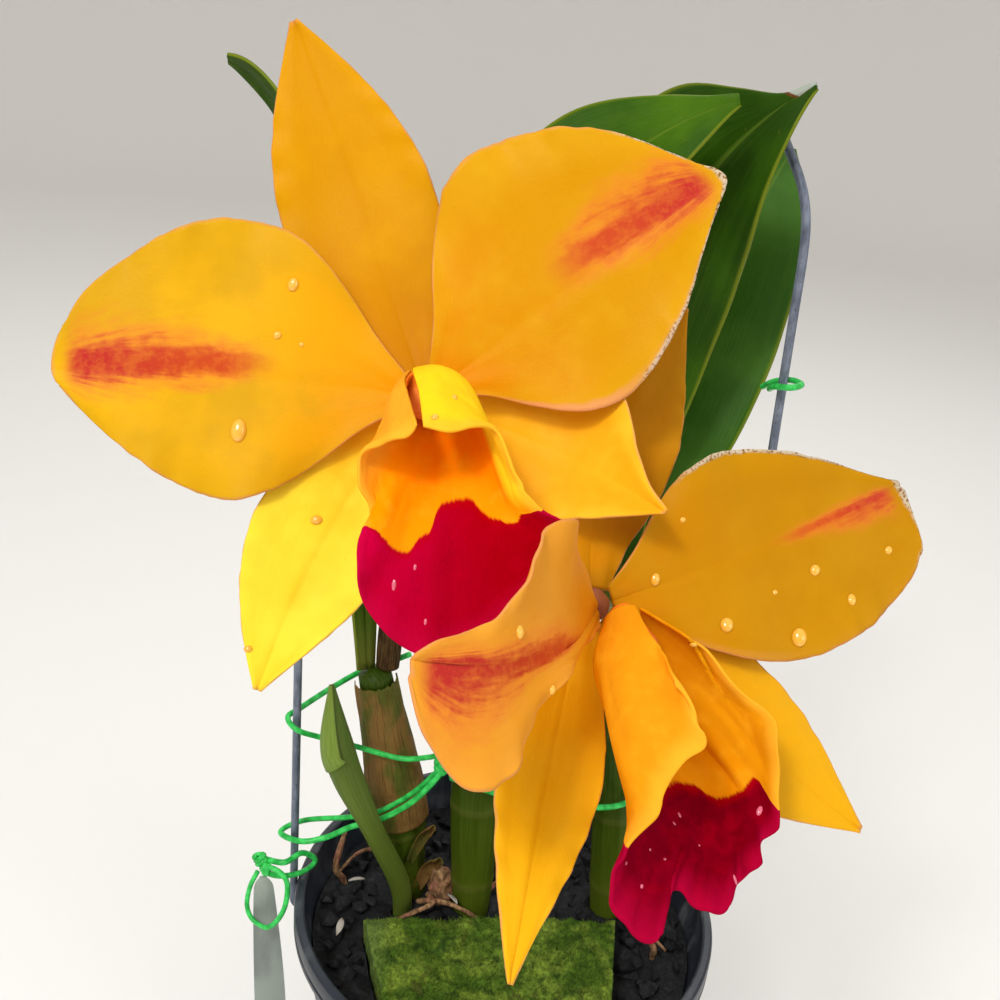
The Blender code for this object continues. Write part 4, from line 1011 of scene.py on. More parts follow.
stalk.wear(stalk.paint(green, (stalk.fade(grain, 0.45, 0.7, 0.0, 0.35), tint(124, 124, 50)),
                       (stalk.fade(up_stem, 0.9, 0.96), tint(150, 84, 50))))
stems = {
    "upper_stem": [*UPPER_STEM, UPPER_CENTRE + seen(0, 0, 12), UPPER_CENTRE + seen(0, 0, 0.2)],
    "lower_stem": [*LOWER_STEM, LOWER_CENTRE + seen(-0.12, -0.1, 0.4).normalized() * 11,
                   LOWER_CENTRE - seen(-0.1, -0.2, 1).normalized() * 2.1],
}
for name, places in stems.items():
    path = smooth_path(places, 14)
    swell = [max(0, k + SEAT_STEPS - len(path)) / SEAT_STEPS for k in range(len(path))]
    radii = [STEM_RADIUS + (SEAT_RADIUS - STEM_RADIUS) * share for share in swell]
    rod = rod_mesh(path, radii, STEM_SIDES,
                   shape=lambda angle, share: 1 + 0.02 * math.cos(5 * angle + share * 3))
    settle(mesh_piece(name + "_stalk", stalk.surface, *rod), "leaf", name)
husk = Finish("dark_husk", Roughness=0.7, Specular_IOR_Level=0.1)
veins = husk.cloud(1.0, charted(husk, 30.0, 4.0), 3.0, 0.6)
husk.relief(veins, 0.3)
husk.wear(husk.blend(husk.fade(veins, 0.3, 0.7), tint(44, 30, 14), tint(86, 64, 34)))
path = smooth_path(stems["upper_stem"], 3)[:5]
grid = wrapped(path, HUSK_RADII, (-150, 150), *HUSK_CELLS,
               lambda share, along: 0.25 * math.sin(share * 19) * along + 0.5 * along**5)
settle(mesh_piece("stem_husk", husk.surface, *sheet_mesh(grid, 0.6, 0.25)), "husk", "stem_sheath")

# Each bloom has three sepals behind and two broad petals: waxy, golden, finely veined from the
# base out, with worn pinkish edges. The petals have a grainy brick-red flare along the outer
# midrib. All five grow from the head of the stem.
BLADE_START = 3.4
SEPAL_BACK = 1.4
PETAL_BACK = -0.8
TEPAL_CELLS = (110, 56)
SEPAL_OUTLINE = (
    (0, 0.30), (0.12, 0.52), (0.35, 0.95), (0.55, 1.0), (0.75, 0.74), (0.9, 0.36), (1, 0.05))
UPPER_TEPALS = {
    "dorsal_sepal": Blade(
        tip=(-22.8, 66.0, -5), handle=(-11, 34, 2), width=29, outline=SEPAL_OUTLINE, lean=0.92,
        face=((0, 0, -1), (0, -0.1, -1)), cup=(14, 10)),
    "left_sepal": Blade(
        tip=(-29.5, -51.8, -4), handle=(-20, -22, 2), width=26, outline=SEPAL_OUTLINE,
        face=((0, 0, -1), (0, 0.1, -1)), cup=(20, 20)),
    "right_sepal": Blade(
        tip=(40.9, -20.2, -14), handle=(24, -8, 9.6), width=28, cup=(-8, 22), right_cup=(20, 20),
        face=((0, 0, -1), (-0.2, 0, -1)),
        outline=((0, 0.3), (0.12, 0.5), (0.35, 0.9), (0.58, 1.1), (0.7, 0.95), (0.8, 0.56),
                 (0.9, 0.22), (1, 0.03)),
        right_outline=((0, 0.3), (0.12, 0.5), (0.35, 0.95), (0.55, 0.95), (0.75, 0.62), (0.9, 0.28),
                       (1, 0.03))),
    "left_petal": Blade(
        tip=(-64.1, 4.6, -6), handle=(-34, 5, 0), width=45, cup=(10, 4), wave=1, lean=1.22, blunt=2,
        face=((0, 0, -1), (0.1, 0, -1)),
        outline=((0, 0.12), (0.1, 0.3), (0.2, 0.55), (0.33, 0.83), (0.48, 0.98), (0.62, 0.9),
                 (0.75, 0.71), (0.86, 0.5), (0.95, 0.3), (1, 0.16)),
        right_outline=((0, 0.12), (0.1, 0.34), (0.2, 0.62), (0.33, 0.9), (0.46, 1.0), (0.6, 0.96),
                       (0.75, 0.8), (0.86, 0.62), (0.95, 0.42), (1, 0.24))),
    "right_petal": Blade(
        tip=(52.4, 37.8, -6), handle=(26, 19, -2), width=57, cup=(10, 4), wave=1, lean=0.74, blunt=3,
        outline=((0, 0.12), (0.1, 0.34), (0.2, 0.64), (0.36, 0.96), (0.5, 1.02), (0.66, 0.9),
                 (0.76, 0.76), (0.9, 0.46), (1, 0.14)),
        right_outline=((0, 0.12), (0.1, 0.3), (0.2, 0.62), (0.3, 0.88), (0.42, 1), (0.6, 0.86),
                       (0.73, 0.66), (0.83, 0.44), (0.93, 0.24), (1, 0.12))),
}
LOWER_TEPALS = {
    "dorsal_sepal": Blade(
        tip=(21, 57, 22), handle=(1, 32, 15), width=23, outline=SEPAL_OUTLINE, lean=1.1,
        face=((0.3, 0.2, -1), (0.3, 0.3, -1)), cup=(14, 10)),
    "left_sepal": Blade(
        tip=(-14.3, -50.8, -35), handle=(-9.5, -26, -18), width=19, cup=(25, 20),
        face=((0.4, 0.3, -1), (0.4, 0.3, -1)),
        outline=((0, 0.3), (0.12, 0.52), (0.35, 0.95), (0.5, 1.0), (0.7, 0.72), (0.87, 0.34), (1, 0.05))),
    "right_sepal": Blade(
        tip=(48.1, -39.6, 0), handle=(20, -18, 4), width=25, outline=SEPAL_OUTLINE,
        face=((0.2, 0.3, -1), (0.2, 0.3, -1)), cup=(20, 10)),
    "left_petal": Blade(
        tip=(-28, -1.8, -51.2), handle=(-6, -7.4, -34.6), width=46, cup=(20, 10), wave=1, lean=0.8,
        face=((0.9, 0.1, -0.5), (0.4, 0.1, -0.9)),
        outline=((0, 0.08), (0.15, 0.08), (0.3, 0.13), (0.48, 0.22), (0.62, 0.42), (0.74, 0.66),
                 (0.84, 0.7), (0.92, 0.5), (0.97, 0.32), (1, 0.12)),
        right_outline=((0, 0.12), (0.1, 0.5), (0.2, 0.9), (0.33, 1.06), (0.48, 1.0), (0.62, 0.72),
                       (0.75, 0.34), (0.86, 0.22), (0.95, 0.14), (1, 0.04))),
    "right_petal": Blade(
        tip=(59.6, 21.3, 15), handle=(30, 8, 6), width=41, cup=(10, 4), wave=1,
        face=((0.3, 0.2, -1), (0.3, 0.2, -1)),
        outline=((0, 0.12), (0.1, 0.32), (0.2, 0.57), (0.33, 0.83), (0.48, 0.93), (0.62, 0.83),
                 (0.75, 0.61), (0.86, 0.38), (0.94, 0.18), (1, 0.04)),
        right_outline=((0, 0.12), (0.1, 0.3), (0.2, 0.56), (0.33, 0.84), (0.48, 1.03), (0.62, 1.04),
                       (0.75, 0.99), (0.86, 0.86), (0.94, 0.68), (0.98, 0.48), (1, 0.08))),
}
FLARES = {  # start and end along the midrib, places across at both, and half width
    "upper_left_petal": (0.34, 0.97, 0.55, 0.52, 0.078),
    "upper_right_petal": (0.42, 0.97, 0.43, 0.45, 0.1),
    "lower_left_petal": (0.2, 0.98, 0.5, 0.48, 0.09),
    "lower_right_petal": (0.52, 0.97, 0.5, 0.5, 0.055),
}
CRUSTS = {  # from where the left and the right edge are grey-brown, and how sore the right one is
    "upper_right_petal": (0.8, 0.45, 0.75),
    "lower_right_petal": (0.3, 0.9, 0.15),
}
PETAL_TINTS = {  # at the base, farther out, and in patches and toward the edges
    "upper_dorsal_sepal": (tint(200, 128, 0), tint(204, 139, 0), tint(212, 148, 0)),
    "upper_left_sepal": (tint(238, 164, 6), tint(244, 208, 44), tint(250, 224, 60)),
    "upper_right_sepal": (tint(238, 184, 24), tint(240, 168, 20), tint(248, 194, 44)),
    "upper_left_petal": (tint(230, 150, 0), tint(220, 165, 14), tint(198, 148, 16)),
    "upper_right_petal": (tint(214, 134, 0), tint(204, 141, 0), tint(214, 158, 20)),
    "lower_dorsal_sepal": (tint(208, 134, 0), tint(186, 122, 4), tint(190, 130, 14)),
    "lower_left_sepal": (tint(222, 146, 4), tint(236, 172, 14), tint(238, 178, 26)),
    "lower_right_sepal": (tint(228, 154, 8), tint(224, 162, 14), tint(214, 158, 24)),
    "lower_left_petal": (tint(218, 138, 14), tint(224, 148, 38), tint(226, 154, 52)),
    "lower_right_petal": (tint(196, 126, 0), tint(182, 124, 0), tint(190, 134, 6)),
}
BRICK = tint(182, 44, 38)


def flare_coats(made, across, along, flare):
    """The coats of a petal's flare: an orange haze, and the grainy brick-red mark over it."""
    start, end, first, last, half = flare
    centre = made.fade(along, start, 1.0, first, last)
    aside = made.reckon("ABSOLUTE", made.reckon("SUBTRACT", across, centre))
    aside = made.reckon("MULTIPLY", aside, made.fade(along, start + 0.2, 1.04, 1.0, 0.25))
    aside = made.reckon("MULTIPLY", aside, made.fade(along, start, start + 0.3, 2.2, 1.0))
    grit = made.cloud(2.6, None, 3.0, 0.72)
    streak = made.cloud(1.0, charted(made, 22.0, 5.0), 3.0, 0.65)
    soft = made.cloud(3.4, None, 3.0, 0.65)
    jagged = made.reckon("MULTIPLY", made.reckon("SUBTRACT", streak, 0.5), 2.0 * half)
    softened = made.reckon("MULTIPLY", made.reckon("SUBTRACT", soft, 0.5), 1.1 * half)
    edge = made.reckon("ADD", aside, made.reckon("ADD", jagged, softened))
    reach = made.reckon("MULTIPLY", made.fade(along, start, start + 0.2),
                        made.fade(along, end - 0.05, end + 0.01, 1.0, 0.0))
    haze = made.reckon("MULTIPLY", made.fade(edge, 0.5 * half, 2.1 * half, 0.6, 0.0), reach)
    mark = made.reckon("MULTIPLY", made.fade(edge, 0.15 * half, 1.15 * half, 1.0, 0.0), reach)
    mark = made.reckon("MULTIPLY", mark, made.fade(grit, 0.34, 0.6, 0.7, 1.0))
    core = made.blend(made.fade(along, start + 0.2, end - 0.05), tint(192, 70, 28), BRICK)
    return (haze, tint(222, 110, 46)), (mark, core)


def crust_coats(made, across, along, off, torn, crust):
    """The coats of a petal's dry grey-brown rim, and of the sore band inside its right edge."""
    from_left, from_right, soreness = crust
    jag = made.reckon("MULTIPLY", torn, 0.02)
    left = made.reckon("MULTIPLY", made.fade(across, 0.5, 0.52, 1.0, 0.0),
                       made.fade(along, from_left, from_left + 0.1))
    right = made.reckon("MULTIPLY", made.fade(across, 0.5, 0.52),
                        made.fade(along, from_right, from_right + 0.1))
    edge = made.fade(made.reckon("ADD", off, jag), 0.48, 0.498)
    edge = made.reckon("MAXIMUM", made.reckon("MULTIPLY", edge, made.reckon("ADD", left, right)),
                       made.fade(made.reckon("ADD", along, jag), 0.985, 1.0))
    cells = made.cloud(0.5, None, 2.0)
    dry = made.blend(made.fade(cells, 0.36, 0.5), tint(120, 84, 52), tint(196, 184, 160))
    made.relief(made.reckon("MULTIPLY", edge, torn), 0.3)
    sore = made.reckon("MULTIPLY", made.fade(made.reckon("ADD", across, jag), 0.955, 0.985),
                       made.fade(along, 0.1, 0.2))
    sore = made.reckon("MULTIPLY", sore, made.fade(along, 0.38, 0.55, soreness, soreness / 5))
    return (made.reckon("MULTIPLY", edge, 0.85), dry), (sore, tint(222, 146, 96))


def tepal_finish(name, flare, crust):
    """A sepal's or petal's skin: waxy gold, deeper toward its base, faintly veined, worn at its
    edge."""
    made = Finish(name, Specular_IOR_Level=0.06)
    deep, gold, light = PETAL_TINTS[name]
    across, along = chart_shares(made)
    off = made.reckon("ABSOLUTE", made.reckon("SUBTRACT", across, 0.5))
    veins = made.cloud(1.0, charted(made, 40.0, 1.4), 3.0, 0.55)
    cells = made.cloud(0.45, None, 2.0)
    patch = made.cloud(16.0, None, 3.0, 0.6)
    specks = made.cloud(1.1, None, 2.0, 0.6)
    torn = made.cloud(2.2, None, 3.0)
    rim = made.fade(made.reckon("ADD", off, made.reckon("MULTIPLY", torn, 0.02)), 0.496, 0.512)
    tipped = made.fade(made.reckon("ADD", along, made.reckon("MULTIPLY", torn, 0.03)), 1.0, 1.02)
    worn = made.reckon("MULTIPLY", made.reckon("MAXIMUM", rim, tipped), 0.55)
    coats = [
        (made.fade(off, 0.0, 0.06, 0.2, 0.0), deep),
        (made.fade(off, 0.3, 0.48, 0.0, 0.5), light),
        (made.fade(patch, 0.4, 0.68, 0.0, 0.7), light),
        (made.fade(veins, 0.5, 0.8, 0.0, 0.08), deep),
    ]
    if flare:
        coats += flare_coats(made, across, along, flare)
    coats.append((worn, tint(214, 140, 96)))
    if crust:
        coats += crust_coats(made, across, along, off, torn, crust)
    coats.append((made.fade(specks, 0.76, 0.8, 0.0, 0.3), tint(150, 80, 24)))
    made.relief(veins, 0.035)
    made.relief(cells, 0.04)
    return made.wear(made.paint(made.blend(made.fade(along, 0.02, 0.55), deep, gold), *coats),
                     made.fade(cells, 0.2, 0.8, 0.4, 0.54))


def tepal_nicks(side, share):
    """How uneven a petal's edge is."""
    slow = 0.022 * uneven(share * 8, side * 5, 3, 1.0)
    return slow + 0.012 * uneven(share * 30, side * 5, 8, 1.0) * min(1, share * 3)


def tepal_relief(t, share):
    """A petal's crease along the midrib, its soft folds and the frill near its edge."""
    fall = math.sin(math.pi * min(1, share + 0.03)) ** 0.5
    crease = -0.22 * math.exp(-(t / 0.07) ** 2) * fall * (1 - 0.6 * share)
    frill = 0.35 * abs(t) ** 6 * fall * math.sin(share * 40 + t * 2 + 3 * math.sin(share * 9))
    folds = 0.03 * math.sin(t * 15 + 1.2 * math.sin(share * 5)) * fall * (1 - 0.4 * abs(t))
    return crease + frill + folds + 0.8 * uneven(t * 1.5, share * 3.4, 6, 1.0)


for bloom, centre, tepals in (("upper", UPPER_CENTRE, UPPER_TEPALS),
                              ("lower", LOWER_CENTRE, LOWER_TEPALS)):
    for part, blade in tepals.items():
        name = f"{bloom}_{part}"
        face = seen(*blade.face[0]).normalized()
        behind = face * -(PETAL_BACK if "petal" in part else SEPAL_BACK)
        placed = replace(blade, start=Vector(blade.handle).normalized() * BLADE_START)
        grid = blade_grid(placed, *TEPAL_CELLS, tepal_nicks, tepal_relief) + np.array(centre + behind)
        surface = tepal_finish(name, FLARES.get(name), CRUSTS.get(name))
        settle(mesh_piece(name + "_blade", surface, *sheet_mesh(grid, 1.2, 0.4, 4)), "petal", name)

# The lip is the third petal: rolled round the column into a tube, whose front opens into a
# ruffled lobe, crimson, with a painted sheen and painted wet glints. The tube and its two flaps are
# yellow, and orange in the throat. It grows from the head of the stem.
LIP_RADIUS = 3.2
LIP_START = 5.0
LIP_RISE = 5.0
LIP_CELLS = (84, 260)
LIP_SHARES = (0.0, 0.34, 0.68, 1.0)  # how far along a rib its base, throat, bend and edge lie


@dataclass
class Lip:
    """The tube is two rings about its axis, each wrapped from the bottom by its own half turns. From
    there a rib runs to each place on the front edge, past a bend. Each rib is (share round from the
    seam's left side, -1, to its right side, 1; bend; edge), and its places are as seen. The crimson
    begins at the border, given as (share round, share along), and then at the places seen."""

    seam: tuple
    throat: tuple
    throat_radius: float
    half_turns: tuple
    ruffle: float
    ruffles: float
    ribs: tuple
    border: tuple
    crimson: tuple
    throats: tuple
    reds: tuple
    flaps: tuple


def lip_grid(lip, centre, rows, columns):
    """The lip's middle surface, as rows of points from its base to its front edge."""
    seam = seen(*lip.seam).normalized()
    throat = sighted(*lip.throat)
    base = centre + seam * LIP_RISE
    axis = (throat - base).normalized()
    base = base + axis * LIP_START
    belly = -(seam - axis * axis.dot(seam)).normalized()
    side = axis.cross(belly)
    turns = [rib[0] for rib in lip.ribs]
    bends = np.array([sighted(*rib[1]) for rib in lip.ribs])
    edges = np.array([sighted(*rib[2]) for rib in lip.ribs])
    grid = np.zeros((rows + 1, columns + 1, 3))
    for column in range(columns + 1):
        t = 2 * column / columns - 1
        turned = [math.radians(pair[t > 0]) * t for pair in lip.half_turns]
        low, high = (belly * math.cos(turn) + side * math.sin(turn) for turn in turned)
        places = np.array([base + low * LIP_RADIUS, throat + high * lip.throat_radius,
                           spline(bends, turns, t), spline(edges, turns, t)])
        for row in range(rows + 1):
            grid[row, column] = spline(places, LIP_SHARES, row / rows)
    normal = np.cross(np.gradient(grid, axis=1), np.gradient(grid, axis=0))
    normal /= np.maximum(np.linalg.norm(normal, axis=2, keepdims=True), 1e-9)
    t = np.linspace(-1, 1, columns + 1)[None, :, None]
    share = np.linspace(0, 1, rows + 1)[:, None, None]
    lobe = np.exp(-((t - 0.05) / 0.42) ** 6)
    frill = lip.ruffle * share**4 * np.sin(math.pi * lip.ruffles * t)
    frill = frill + 0.4 * lobe * share**6 * np.sin(math.pi * lip.ruffles * 2.1 * t + 1)
    bumps = np.array([[uneven(column * 0.1, row * 0.12, 1, 1.0) for column in range(columns + 1)]
                      for row in range(rows + 1)])
    return grid + normal * (frill + (0.25 + 0.15 * lobe * share) * share * bumps[..., None])


def crimson_border(lip, grid):
    """The border of the crimson as (share round, share along), from where it is seen on the lip."""
    rows, columns = grid.shape[0] - 1, grid.shape[1] - 1
    ways = np.array([seen(1, 0, 0), seen(0, 1, 0), seen(0, 0, 1)])
    spots = (grid - np.array(VIEWER)) @ ways.T
    across, up = 1000 * spots[..., 0] / spots[..., 2], 1000 * spots[..., 1] / spots[..., 2]
    hidden = np.zeros(across.shape)
    hidden[: rows // 2] = 1e6
    hidden[:, : int(columns * 0.3)] = 1e6
    hidden[:, int(columns * 0.76):] = 1e6
    found = []
    for place in lip.crimson:
        miss = np.hypot(across - place[0], up - place[1]) + hidden
        row, column = np.unravel_index(miss.argmin(), miss.shape)
        found.append((2 * column / columns - 1, row / rows))
    line = [(-1.0, 1.1), (lip.border[0][0] - 0.03, 1.1), *lip.border]
    for t, share in sorted(found):
        if t > line[-1][0] + 0.012:
            line.append((t, share))
    return line + [(line[-1][0] + 0.03, 1.1), (1.0, 1.1)]


UPPER_LIP = Lip(
    seam=(-0.4, 0.92, 0), throat=(-66, 86, 176), throat_radius=7.3, half_turns=((172, 178), (164, 182)),
    ruffle=0.3, ruffles=9,
    ribs=(
        (-1, (-87, 99, 168), (-80, 72, 163)),
        (-0.91, (-96, 88, 168), (-89, 61, 163)),
        (-0.82, (-104, 78, 169), (-102, 56, 164)),
        (-0.72, (-111, 67, 171), (-118, 53, 166)),
        (-0.62, (-120, 53, 172), (-132, 41, 168)),
        (-0.52, (-121, 32, 172), (-135, 13, 168)),
        (-0.42, (-115, 8, 171), (-123, -11, 169)),
        (-0.33, (-110, -11, 169), (-134, -36, 166)),
        (-0.25, (-105, -29, 169), (-137, -74, 166)),
        (-0.15, (-90, -42, 170), (-112, -124, 168)),
        (-0.05, (-65, -46, 170), (-72, -148, 170)),
        (0.05, (-40, -44, 171), (-29, -138, 171)),
        (0.15, (-16, -38, 171), (19, -103, 171)),
        (0.25, (3, -29, 171), (63, -48, 170)),
        (0.34, (12, -11, 171), (57, -19, 168)),
        (0.43, (10, 6, 171), (29, 0, 168)),
        (0.52, (5, 28, 172), (18, 16, 169)),
        (0.62, (-2, 50, 172), (10, 41, 169)),
        (0.72, (-16, 74, 171), (-5, 65, 168)),
        (0.82, (-36, 90, 169), (-27, 70, 165)),
        (0.91, (-57, 98, 167), (-50, 64, 163)),
        (1, (-77, 101, 167), (-73, 70, 163)),
    ),
    border=((-0.36, 1.02), (-0.34, 0.9)),
    crimson=((-113, -37), (-106, -44), (-94, -50), (-87, -48), (-76, -38), (-67, -29), (-62, -15),
             (-57, -7), (-48, -2), (-37, 1), (-26, -1), (-18, -10), (-10, -17), (-1, -18), (8, -22),
             (17, -20), (22, -12)),
    throats=(tint(255, 146, 2), tint(255, 128, 0)), reds=(tint(196, 2, 60), tint(160, 0, 16)),
    flaps=(tint(236, 158, 40), tint(246, 200, 30)))
LOWER_LIP = Lip(
    seam=(0.72, 0.39, -0.57), throat=(138, -155, 172.6), throat_radius=8.2,
    half_turns=((165, 170), (135, 174)), ruffle=0.5, ruffles=11,
    ribs=(
        (-1, (154, -143, 163), (167, -177, 156)),
        (-0.9, (156, -173, 160), (188, -209, 153)),
        (-0.8, (145, -196, 157), (196, -232, 151)),
        (-0.7, (131, -216, 155), (177, -249, 151)),
        (-0.6, (122, -236, 155), (156, -278, 151)),
        (-0.5, (117, -259, 156), (149, -305, 150)),
        (-0.42, (122, -276, 162), (119, -329, 150)),
        (-0.34, (131, -288, 165), (114, -352, 151)),
        (-0.27, (141, -293, 167), (104, -383, 151)),
        (-0.2, (150, -297, 169), (122, -410, 151)),
        (-0.12, (162, -297, 171), (152, -417, 150)),
        (-0.05, (173, -297, 172), (156, -381, 157)),
        (0.03, (184, -295, 173), (171, -370, 160)),
        (0.12, (195, -291, 174), (192, -392, 161)),
        (0.2, (206, -286, 174), (216, -391, 161)),
        (0.27, (215, -280, 174), (229, -362, 165)),
        (0.34, (224, -273, 174), (248, -350, 165)),
        (0.41, (232, -271, 173), (249, -326, 168)),
        (0.48, (238, -259, 174), (266, -312, 169)),
        (0.56, (240, -244, 174), (265, -278, 170)),
        (0.64, (236, -225, 175), (265, -243, 171)),
        (0.72, (230, -206, 175), (263, -211, 172)),
        (0.8, (215, -187, 175), (240, -193, 173)),
        (0.88, (202, -168, 175), (219, -169, 173)),
        (0.94, (188, -146, 175), (199, -148, 173)),
        (1, (175, -131, 174), (187, -136, 173)),
    ),
    border=((-0.42, 1.0), (-0.36, 0.85), (-0.3, 0.72)),
    crimson=((165, -268), (176, -269), (185, -273), (198, -282), (215, -282), (229, -278), (237, -268),
             (249, -265), (264, -266)),
    throats=(tint(228, 130, 2), tint(214, 118, 0)), reds=(tint(130, 2, 30), tint(116, 0, 18)),
    flaps=(tint(230, 147, 20), tint(220, 140, 10)))


def lip_finish(name, lip, line):
    """A lip's skin: yellow flaps, an orange throat, and the crimson lobe past its border line."""
    made = Finish(name, Specular_IOR_Level=0.0)
    across, along = chart_shares(made)
    edge = made.tree.nodes.new("ShaderNodeFloatCurve")
    marks = edge.mapping.curves[0].points
    places = [((t + 1) / 2, share - 0.2) for t, share in line]
    marks[0].location, marks[1].location = places[0], places[-1]
    for place in places[1:-1]:
        marks.new(*place)
    edge.mapping.update()
    made.give(edge.inputs[1], across)
    veins = made.cloud(1.0, charted(made, 110.0, 3.0), 3.0, 0.6)
    blur = made.cloud(3.0, None, 3.0)
    past = made.reckon("SUBTRACT", made.reckon("SUBTRACT", along, 0.2), edge.outputs[0])
    past = made.reckon("ADD", past, made.reckon("MULTIPLY", made.reckon("SUBTRACT", veins, 0.5), 0.025))
    flesh = made.paint(
        made.blend(made.fade(across, 0.3, 0.5), *lip.throats),
        (made.fade(past, -0.2, -0.03, 0.0, 0.6), tint(250, 156, 10)),
        (made.fade(across, 0.2, 0.3, 1.0, 0.0), lip.flaps[0]),
        (made.fade(across, 0.68, 0.75), lip.flaps[1]),
        (made.fade(along, 0.84, 0.98, 0.0, 0.7), tint(248, 178, 48)),
        (made.fade(blur, 0.45, 0.7, 0.0, 0.25), tint(248, 176, 36)),
        (made.fade(veins, 0.55, 0.8, 0.0, 0.07), tint(226, 92, 0)))
    # The crimson is pinker on the left, partly its own colour and partly a painted sheen. Its edge tips are
    # painted lighter and pinker, partly their own colour and partly painted light on the ruffles.
    red = made.paint(
        made.blend(made.fade(across, 0.3, 0.6), *lip.reds),
        (made.fade(blur, 0.4, 0.7, 0.0, 0.3), tint(176, 0, 30)),
        (made.fade(veins, 0.5, 0.8, 0.0, 0.12), tint(110, 0, 14)),
        (made.fade(past, 0.0, 0.04, 0.7, 0.0), tint(172, 4, 4)),
        (made.fade(along, 0.88, 1.0, 0.0, 0.55), tint(190, 10, 62)))
    cells = made.cloud(0.5, None, 2.0)
    beads = made.cloud(2.2, None, 2.0)
    made.relief(veins, 0.04)
    made.relief(cells, 0.03)
    made.relief(made.reckon("MULTIPLY", beads, made.fade(past, 0.0, 0.08)), 0.2)
    return made.wear(made.blend(made.fade(past, -0.008, 0.008), flesh, red),
                     made.fade(past, -0.02, 0.02, 0.45, 0.34))


BLOOM_LIPS = (("upper", UPPER_CENTRE, UPPER_LIP), ("lower", LOWER_CENTRE, LOWER_LIP))
for bloom, centre, lip in BLOOM_LIPS:
    grid = lip_grid(lip, centre, *LIP_CELLS)
    surface = lip_finish(f"{bloom}_lip_skin", lip, crimson_border(lip, grid))
    sheet = mesh_piece(f"{bloom}_lip_sheet", surface, *sheet_mesh(grid, 1.1, 0.45, 4))
    settle(sheet, "lip", f"{bloom}_lip")

# The column stands inside each lip's tube: the flower's waxy orange middle, a thick club with a
# blunt cap at its front end. It grows from the head of the stem.
COLUMN_REACH = (3.4, 5.0, 7.0, 10.0, 12.0, 14.0)
COLUMN_RADII = (2.1, 2.1, 2.6, 3.2, 3.4, 2.0)
COLUMN_SIDES = 28
waxy = Finish("column_wax", Roughness=0.6, Specular_IOR_Level=0.05)
_, out_column = chart_shares(waxy)
waxy.relief(waxy.cloud(0.7), 0.1)
waxy.wear(waxy.blend(waxy.fade(out_column, 0.55, 0.95), tint(236, 120, 30), tint(240, 140, 60)))
for bloom, centre, lip in BLOOM_LIPS:
    base = centre + seen(*lip.seam).normalized() * LIP_RISE
    axis = (sighted(*lip.throat) - base).normalized()
    path = smooth_path([base + axis * reach for reach in COLUMN_REACH], 6)
    rod = rod_mesh(path, spread_radii(COLUMN_RADII, len(path)), COLUMN_SIDES)
    settle(mesh_piece(f"{bloom}_column_club", waxy.surface, *rod), "petal", f"{bloom}_column")

# Water drops lie on the petals and lips after watering: small glossy domes of a half to three
# millimetres, each set where it is seen, on whatever surface is there. They are opaque and painted:
# the golden ones in a petal's gold, standing in for the petal seen through the water, and the pink
# ones on the lips far paler than the crimson, as painted glints.
DROP_RINGS = 6
DROP_SIDES = 20
DROPS = {  # across, up, size and how much longer it is down the petal
    "petal_drops": (tint(236, 172, 24), (
        (-249, 66, 3.0, 1.35), (-212, 157, 1.5, 1.0), (-197, 205, 2.0, 1.2), (-189, 148, 0.9, 1.0),
        (285, -131, 3.0, 1.1), (300, -67, 2.1, 1.0), (335, -95, 1.8, 1.2), (216, -119, 2.6, 1.0),
        (148, -76, 1.8, 1.3), (370, -48, 1.6, 1.0), (19, -126, 1.7, 1.2), (50, -181, 1.4, 1.0),
        (-175, -19, 2.4, 0.7), (-240, -142, 1.6, 0.8), (-62, 79, 1.2, 1.0), (-43, 98, 1.1, 1.0),
        (174, -19, 1.1, 1.0), (184, -138, 1.2, 1.0), (352, -124, 1.0, 1.0), (262, -88, 1.0, 1.0))),
    # The lip drops' pale pink is a painted glint.
    "lip_drops": (tint(214, 80, 118), (
        (-81, -64, 0.5, 2.2), (-101, -81, 0.7, 2.8), (-71, -116, 0.5, 2.2), (171, -300, 0.5, 2.2),
        (224, -362, 0.8, 2.6), (190, -329, 0.4, 1.0), (143, -333, 0.5, 1.0), (166, -308, 0.4, 2.0),
        (120, -346, 0.7, 0.7), (135, -368, 0.8, 0.8), (157, -342, 0.5, 1.0), (247, -296, 0.9, 2.0))),
}
skins = []
for piece in bpy.context.scene.objects:
    if piece.name.endswith(("_blade", "_lip_sheet")) and "leaf" not in piece.name:
        skins.append(BVHTree.FromPolygons([v.co for v in piece.data.vertices],
                                          [tuple(p.vertices) for p in piece.data.polygons]))
origin = Vector(VIEWER) * MM
